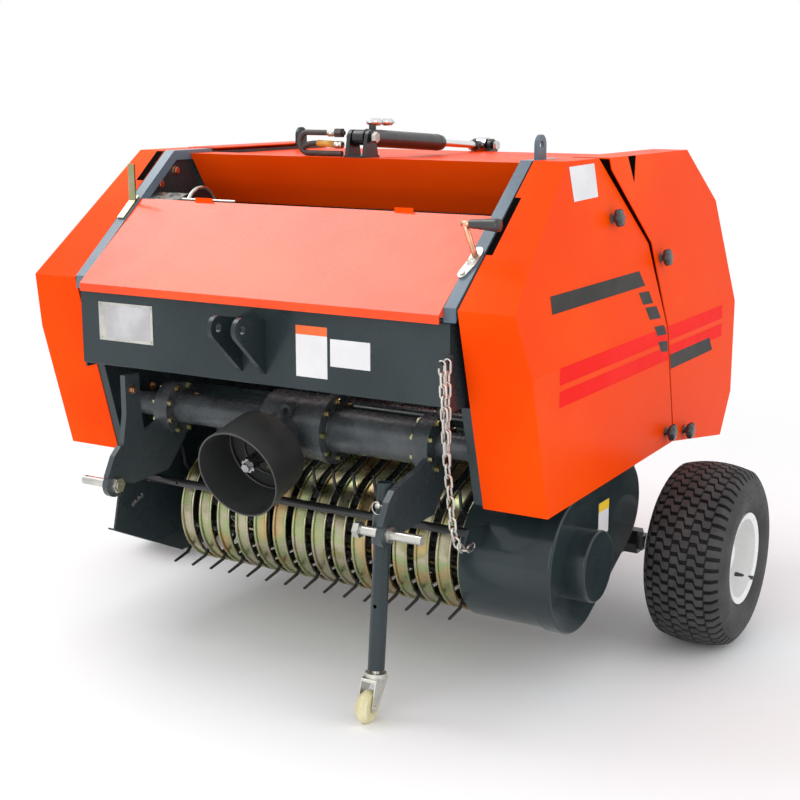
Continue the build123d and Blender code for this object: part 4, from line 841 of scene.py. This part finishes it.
def input_point(distance, radius, angle):
    """Drawing places at distances along the input shaft, and at radii and angles round it."""
    distance, radius, angle = (v[..., None] for v in np.broadcast_arrays(distance, radius, angle))
    around = radius * (np.cos(angle) * ACROSS + np.sin(angle) * np.cross(INPUT, ACROSS))
    return np.array([0, GEAR_S, GEAR_Z]) + distance * INPUT + around


cover_bolts = input_point(136, 40, np.radians(30 + 60 * np.arange(6)))
bolts("shield_bolts", np.hstack([cover_bolts, np.tile(INPUT, (6, 1))]), GOLD_ZINC, "frame", (10, 6, 8))

# %% [markdown]
# The shield's mouth is a rolled lip, and two pressed rings stand on its back wall. Each is a ring: a small
# circle carried round a large one, square to the input shaft.


# %% Rolled lip of the shield
def input_ring(distance, radius, wire, sides=10, around=72):
    """Torus points: at angle b they lie radius + w cos b away from the shaft and w sin b along it."""
    a, b = full_turn(around)[:, None], full_turn(sides)
    points = placed(input_point(distance + wire * np.sin(b), radius + wire * np.cos(b), a))
    return points.reshape(-1, 3), grid_faces(around, sides, close_rows=True, close_cols=True)


lip = join([input_ring(252.6, 106, 2.4), input_ring(144, 96, 3.4), input_ring(140, 60, 2.6)])
piece("shield_lip", *lip, PLASTIC, "frame")

# %% [markdown]
# The roof cylinder has a gland ring, a black rod end and bright pin heads on its ears. The gland, a band
# and the rod end are turned shapes along the cylinder, with heights measured from its base pin.

# %% Roof cylinder trim
CYL_X, PIN_OFF = 8, 37.5
BASE, EYE = np.array([456, 1248]), np.array([1106, 1207])
CYL_LEN = float(np.linalg.norm(EYE - BASE))
CYL_DIR = np.array([0, *(EYE - BASE) / CYL_LEN])
PIN_SIZE = (24, 9, 15)


def along_cylinder(profile_mm):
    """A lathe shape round the cylinder's axis."""
    return turned(profile_mm, CYL_X, *BASE, CYL_DIR, 40, across=ACROSS)


gland = along_cylinder([(10.6, 372), (22.3, 372), (22.3, 376), (20.4, 377), (20.4, 395), (18.6, 397.5),
                        (13, 397.5), (12.6, 399), (10.6, 399), (10.6, 372)])
barrel_band = along_cylinder([(21, 30), (22.4, 30), (22.4, 36), (21, 36), (21, 30)])
piece("cylinder_gland", *join([gland, barrel_band]), BLACK, "cylinder_barrel")
rod_end = along_cylinder([(10.1, CYL_LEN - 66), (12, CYL_LEN - 65), (13.4, CYL_LEN - 60),
                          (13.4, CYL_LEN - 30), (10.1, CYL_LEN - 26), (10.1, CYL_LEN - 66)])
piece("rod_end", *rod_end, BLACK, "cylinder_rod")
bolts("base_pin_head", [(CYL_X + PIN_OFF, *BASE, 1, 0, 0)], PALE_ZINC, "frame", PIN_SIZE)
eye_rows = [(CYL_X + d * PIN_OFF, *EYE, d, 0, 0) for d in (1, -1)]
bolts("eye_pin_heads", eye_rows, PALE_ZINC, "gate", PIN_SIZE)

# %% [markdown]
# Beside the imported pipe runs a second, shorter hose with an amber sleeve. Both end in crimped zinc sleeves.
# A bright coupler lies on the barrel's port.

# %% Second hose, sleeves and coupler
HOSE_S = 452
HOSE_PATH = [(-44, HOSE_S, 1229), (-80, HOSE_S, 1230), (-116, HOSE_S, 1232), (-146, HOSE_S, 1229),
             (-170, HOSE_S, 1216)]
CRIMP = [(0, 0), (8.6, 0), (9.4, 1), (9.4, 5), (8.6, 6), (8.6, 10), (9.4, 11), (9.4, 21), (8, 23), (0, 23)]
SLEEVE = [(6, 0), (8.2, 0), (8.2, 50), (6, 50), (6, 0)]
COUPLER = [(0, 0), (7, 0), (7, 14), (9.5, 15), (9.5, 48), (6.5, 50), (6.5, 72), (9, 74), (9, 104),
           (4, 106), (4, 118), (0, 118)]
crimps = [turned(CRIMP, x, HOSE_S, z, (-1, 0, 0)) for x, z in ((-44, 1229), (-64, 1258))]
piece("short_hose", *tube(smooth_path(HOSE_PATH), 6.6, (0, 1, 0), sides=16), HOSE, "frame")
piece("hose_crimps", *join(crimps), PALE_ZINC, "frame")
piece("amber_sleeve", *turned(SLEEVE, -68, HOSE_S, 1230, (-1, 0, 0.04)), AMBER, "frame")
piece("coupler", *turned(COUPLER, CYL_X, 490, 1284.5, (0, 1, -0.02)), CHROME, "cylinder_barrel")

# %% [markdown]
# Flat plates are prisms: an outline, the same outline a little further on, and a middle point at each end.
# A capsule is the outline round two circles, which makes the arms of a lever.


# %% Prisms and capsules
def prism(low, high):
    """Quads between two outlines given in millimetres, with each end drawn together to its middle."""
    low, high = np.asarray(low, float), np.asarray(high, float)
    low_end, high_end = (end.mean(0) + 1e-3 * (end - end.mean(0)) for end in (low, high))
    return placed(np.concatenate([low_end, low, high, high_end])), grid_faces(4, len(low), close_cols=True)


def upright_plate(x0, x1, outline):
    """A prism across the machine from an outline of stations and heights."""
    return prism(*(np.column_stack([np.full(len(outline), x), outline]) for x in (x0, x1)))


def oblong(a0, a1, b0, b1):
    """The four corners of a rectangle, as pairs."""
    return [(a0, b0), (a1, b0), (a1, b1), (a0, b1)]


def capsule(a, b, ra, rb, count=12):
    """Tangent outline of two circles: arcs of half angle pi - f and f, where cos f = (ra - rb) / length."""
    a, b = np.asarray(a, float), np.asarray(b, float)
    heading = math.atan2(*(b - a)[::-1])
    f = math.acos((ra - rb) / np.linalg.norm(b - a))
    return np.concatenate([circle(heading + np.linspace(-f, f, count), rb, b),
                           circle(heading + np.linspace(f, 2 * np.pi - f, count), ra, a)])


# %% [markdown]
# The crank on the right rail is a flat bent lever and a thin arm, whose grip follows further down. The
# lever lies on the rail's sloping top, so its outline is drawn there: across, and along the slope.

# %% Crank
RISE = math.atan(286 / 349)
RAIL_Z = 923.2
LEVER_PIN, LEVER_KNEE, LEVER_END = (500, 74), (509, 100), (510, 122)
ARM_FOOT, ARM_HEAD = (509, 112, 1018.5), (489, 100, 1088)
GRIP_FROM, GRIP_TO = (482, 100, 1088), (505, 100, 1088)


def on_rail(outline, lift):
    """Places on the rail's top from (across, station) pairs, lifted square to the slope."""
    outline = np.asarray(outline, float)
    s = outline[:, 1] - lift * math.sin(RISE)
    z = RAIL_Z + outline[:, 1] * math.tan(RISE) + lift * math.cos(RISE)
    return np.column_stack([outline[:, 0], s, z])


lever = [capsule(LEVER_PIN, LEVER_KNEE, 10, 11.5), capsule(LEVER_KNEE, LEVER_END, 11.5, 12.5)]
crank_parts = [prism(on_rail(arm, 0.2), on_rail(arm, 5.2)) for arm in lever]
pin_head = circle(full_turn(15), 5.5, LEVER_PIN)
crank_parts.append(prism(on_rail(pin_head, 5), on_rail(pin_head, 9)))
crank = piece("crank", *join(crank_parts), PALE_ZINC, "frame", smooth=False)
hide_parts("crank_right")
crank_rod = [tube(np.linspace(ARM_FOOT, ARM_HEAD, 6), 6.5, (1, 0, 0)),
             tube(np.linspace(GRIP_FROM, GRIP_TO, 3), 6.5, (0, 1, 0))]
piece("crank_rod", *join(crank_rod), COPPER, "frame")

# %% [markdown]
# The left rail carries a flat upright strap on a small foot. The foot lies on the slope as the lever does,
# and the strap stands straight up from the rail's top.

# %% Lever strap
STRAP_X, STRAP_TOP_Z = (-520, -500), 1181
foot_outline = oblong(*STRAP_X, 153, 214)
foot = prism(on_rail(foot_outline, 0.2), on_rail(foot_outline, 5))
strap_outline = oblong(*STRAP_X, RAIL_Z + 200 * math.tan(RISE), STRAP_TOP_Z)
strap = prism(*([(x, s, z) for x, z in strap_outline] for s in (197, 202)))
lever_strap = piece("lever_strap", *join([foot, strap]), GOLD_ZINC, "frame", smooth=False)
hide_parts("lever_left")

# %% [markdown]
# The twine gear stands at the left end of the opening: a plate, a box with a sloping lid, a shaft with a
# rimmed wheel, and a thin guide rod that runs along the hood's rear edge.

# %% Twine gear
WHEEL_X, WHEEL_CENTRE, WHEEL_R, DISC_R = -387, (318, 1060), 60, 56
gear_plate = upright_plate(-505, -500, [(240, 1063), (286, 1030), (331, 1030), (331, 1064), (300, 1104),
                                            (262, 1092)])
gear_box = upright_plate(-500.5, -402, [(228, 1064), (288, 1064), (288, 1107), (228, 1090)])
spin = full_turn(48)
wheel_rim = np.column_stack([np.full(48, WHEEL_X), circle(spin, WHEEL_R, WHEEL_CENTRE)])
rods = [tube([(-500.5, *WHEEL_CENTRE), (-372, *WHEEL_CENTRE)], 8, (0, 1, 0), 16),
        tube([(-402.5, 262, 1094), (-236, 262, 1094)], 3.6, (0, 1, 0), 10),
        tube(wheel_rim, 5, (1, 0, 0), 10, closed=True)]
twine_gear = piece("twine_gear", *join([gear_plate, gear_box, *rods]), PALE_ZINC, "frame")
twine_gear.data.set_sharp_from_angle(angle=math.radians(35))
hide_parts("twine_tier")
disc = upright_plate(WHEEL_X - 3, WHEEL_X + 3, circle(spin, DISC_R, WHEEL_CENTRE))
piece("twine_wheel_disc", *disc, BLACK, "frame", smooth=False)

# %% [markdown]
# A feed pan takes the crop from the bands, and its apron and a rubber skirt close the space behind the reel.
# Its profile is a bent sheet: each corner of the line is moved to both sides by half the sheet.

# %% Feed pan and skirt
PAN_LINE = np.array([(484, 508), (548, 511), (561, 499), (561, 216)])
PAN_HALF, HALF_SHEET = 504.7, 1.5
heading = np.gradient(PAN_LINE, axis=0)
heading /= np.linalg.norm(heading, axis=1, keepdims=True)
off = HALF_SHEET * np.stack([-heading[:, 1], heading[:, 0]], -1)
profile = np.concatenate([PAN_LINE + off, (PAN_LINE - off)[::-1]])
pan = placed([np.column_stack([np.full(len(profile), x), profile]) for x in (-PAN_HALF, PAN_HALF)])
piece("feed_pan", pan, grid_faces(2, len(profile), close_cols=True), SLATE, "frame", smooth=False)
skirt = upright_plate(-500, 500, oblong(562.5, 565.5, 148, 222))
piece("feed_skirt", *skirt, HOSE, "frame", smooth=False)

# %% [markdown]
# A blank label with a yellow band sits on the outer face of the pickup's chain case.

# %% Label on the chain case
for name, x, z0, z1, wears in (("case_label", 670, 334, 415, LABEL),
                               ("case_label_band", 670.5, 393, 415, YELLOW_BAND)):
    paper = upright_plate(x + 0.1, x + 0.4, oblong(440, 500, z0, z1))
    piece(name, *paper, wears, "frame", smooth=False)

# %% [markdown]
# The covers are cut out beside the rails, where the levers pass, and the rear covers have a slit at the
# roof. Both show as dark gaps; here the shade in them is painted, as dark inlays laid on the whole sheets.

# %% Painted shade in the gaps of the covers
NOSE_TOP_Z, ROOF_SLOPE, COVER_IN = 918, 291 / 349, 528
quad = np.array([[0, 1, 2, 3]])
for hand, sign, s0, s1, width in (("right", 1, 124, 258, 15), ("left", -1, 262, 346, 22)):
    x, s = np.array(oblong(COVER_IN, COVER_IN + width, s0, s1)).T
    gap = place(sign * x, s, NOSE_TOP_Z + s * ROOF_SLOPE + 0.6)
    faces = quad if sign > 0 else quad[:, ::-1]
    piece(f"notch_{hand}", gap, faces, GAP_SHADE, f"front_cover_{hand}", smooth=False)
vinyl("roof_slit", [[(668, 1208.6), (690, 1146), (716, 1208.6)]], "rear", GAP_SHADE, 0.5)

# %% [markdown]
# The crank's black grip is tapered towards the arm. It is turned on the lathe and sits on the rod's end.

# %% Grip of the crank
GRIP = [(0, -0.8), (9.4, -0.8), (10, 1.5), (10.6, 16), (14, 58), (14.4, 64), (13.2, 69), (9, 71.2),
        (0, 71.6)]
piece("crank_grip", *turned(GRIP, 503, 100, 1088, (1, 0, 0), 36), PLASTIC, "frame")

# %% [markdown]
# The leg's lock pin carries a wire clip, the hood has two small tabs at its rear edge, and zinc strips
# stiffen the front edges of the covers, which run back in a straight line below the nose's top.

# %% Clip, tabs and strips
LEG_X, LEG_S, CLIP_Z = 356.1, -9.8, 484
LOCK_PIN = [(0, 0), (7.5, 0), (7.5, 4), (4, 5), (4, 56), (0, 57)]
lock_pin = turned(LOCK_PIN, LEG_X, LEG_S - 27, CLIP_Z, (0, 1, 0.09))
around = np.radians(np.linspace(60, 400, 26))
clip = np.stack([LEG_X - 2 + 13 * np.cos(around), LEG_S - 25 - 2 * np.sin(around),
                 CLIP_Z - 6 + 15 * np.sin(around)], -1)
piece("leg_pin", *join([lock_pin, tube(clip, 1.5, (0, 1, 0), sides=8)]), PALE_ZINC, "support_leg")
tabs = [block(x0, x1, 212.6, 215.6, 1088, 1104) for x0, x1 in ((-321, -269), (249, 297))]
piece("hood_tabs", *join(tabs), ORANGE, "frame", smooth=False)


def nose_s(z):
    """Station of a cover's front edge at a height below the nose's top."""
    return 127 * (NOSE_TOP_Z - z) / 456


strip_outline = [(nose_s(z) + back, z) for back, z in oblong(4, 18, 905, 560)]
for hand, sign in HANDS:
    corners = [(sign * x, s, z) for x in (528.6, 526.8) for s, z in strip_outline]
    faces = BOX_FACES[:, ::-1] if sign > 0 else BOX_FACES
    piece(f"edge_strip_{hand}", placed(corners), faces, PALE_ZINC, f"front_cover_{hand}", smooth=False)

# %% [markdown]
# Copper-coloured bolts stand on the side plates inside the hood opening and lower down, and hold the hitch
# arms. Small yellow bolts hold the hinge strips of the front covers.

# %% Bolts of the body
PLATE_X, HINGE_X = 505, 526.8
HINGE_Z = np.array([870, 800, 720, 640, 560])


def plate_rows(spots):
    """Rows for bolts on the inner faces of both side plates, at the given stations and heights."""
    return [(sign * PLATE_X, s, z, -sign, 0, 0) for _, sign in HANDS for s, z in spots]


plate_bolts = plate_rows(((298, 1127), (361, 1158)))
side_bolts = plate_rows(((242, 608), (211, 560), (276, 537)))
arm_bolts = [(-378, 22, 652, 1, 0, 0), (-393, 22, 652, -1, 0, 0)]
bolts("plate_bolts", plate_bolts, COPPER, "frame", (17, 10, 12))
bolts("side_bolts", side_bolts + arm_bolts, COPPER, "frame", (15, 9, 12))
for hand, sign in HANDS:
    rows = [(sign * HINGE_X, s, z, -sign, 0, 0) for s, z in zip(nose_s(HINGE_Z) + 12, HINGE_Z)]
    bolts(f"hinge_bolts_{hand}", rows, GOLD_ZINC, f"front_cover_{hand}", (8, 4, 6.5))
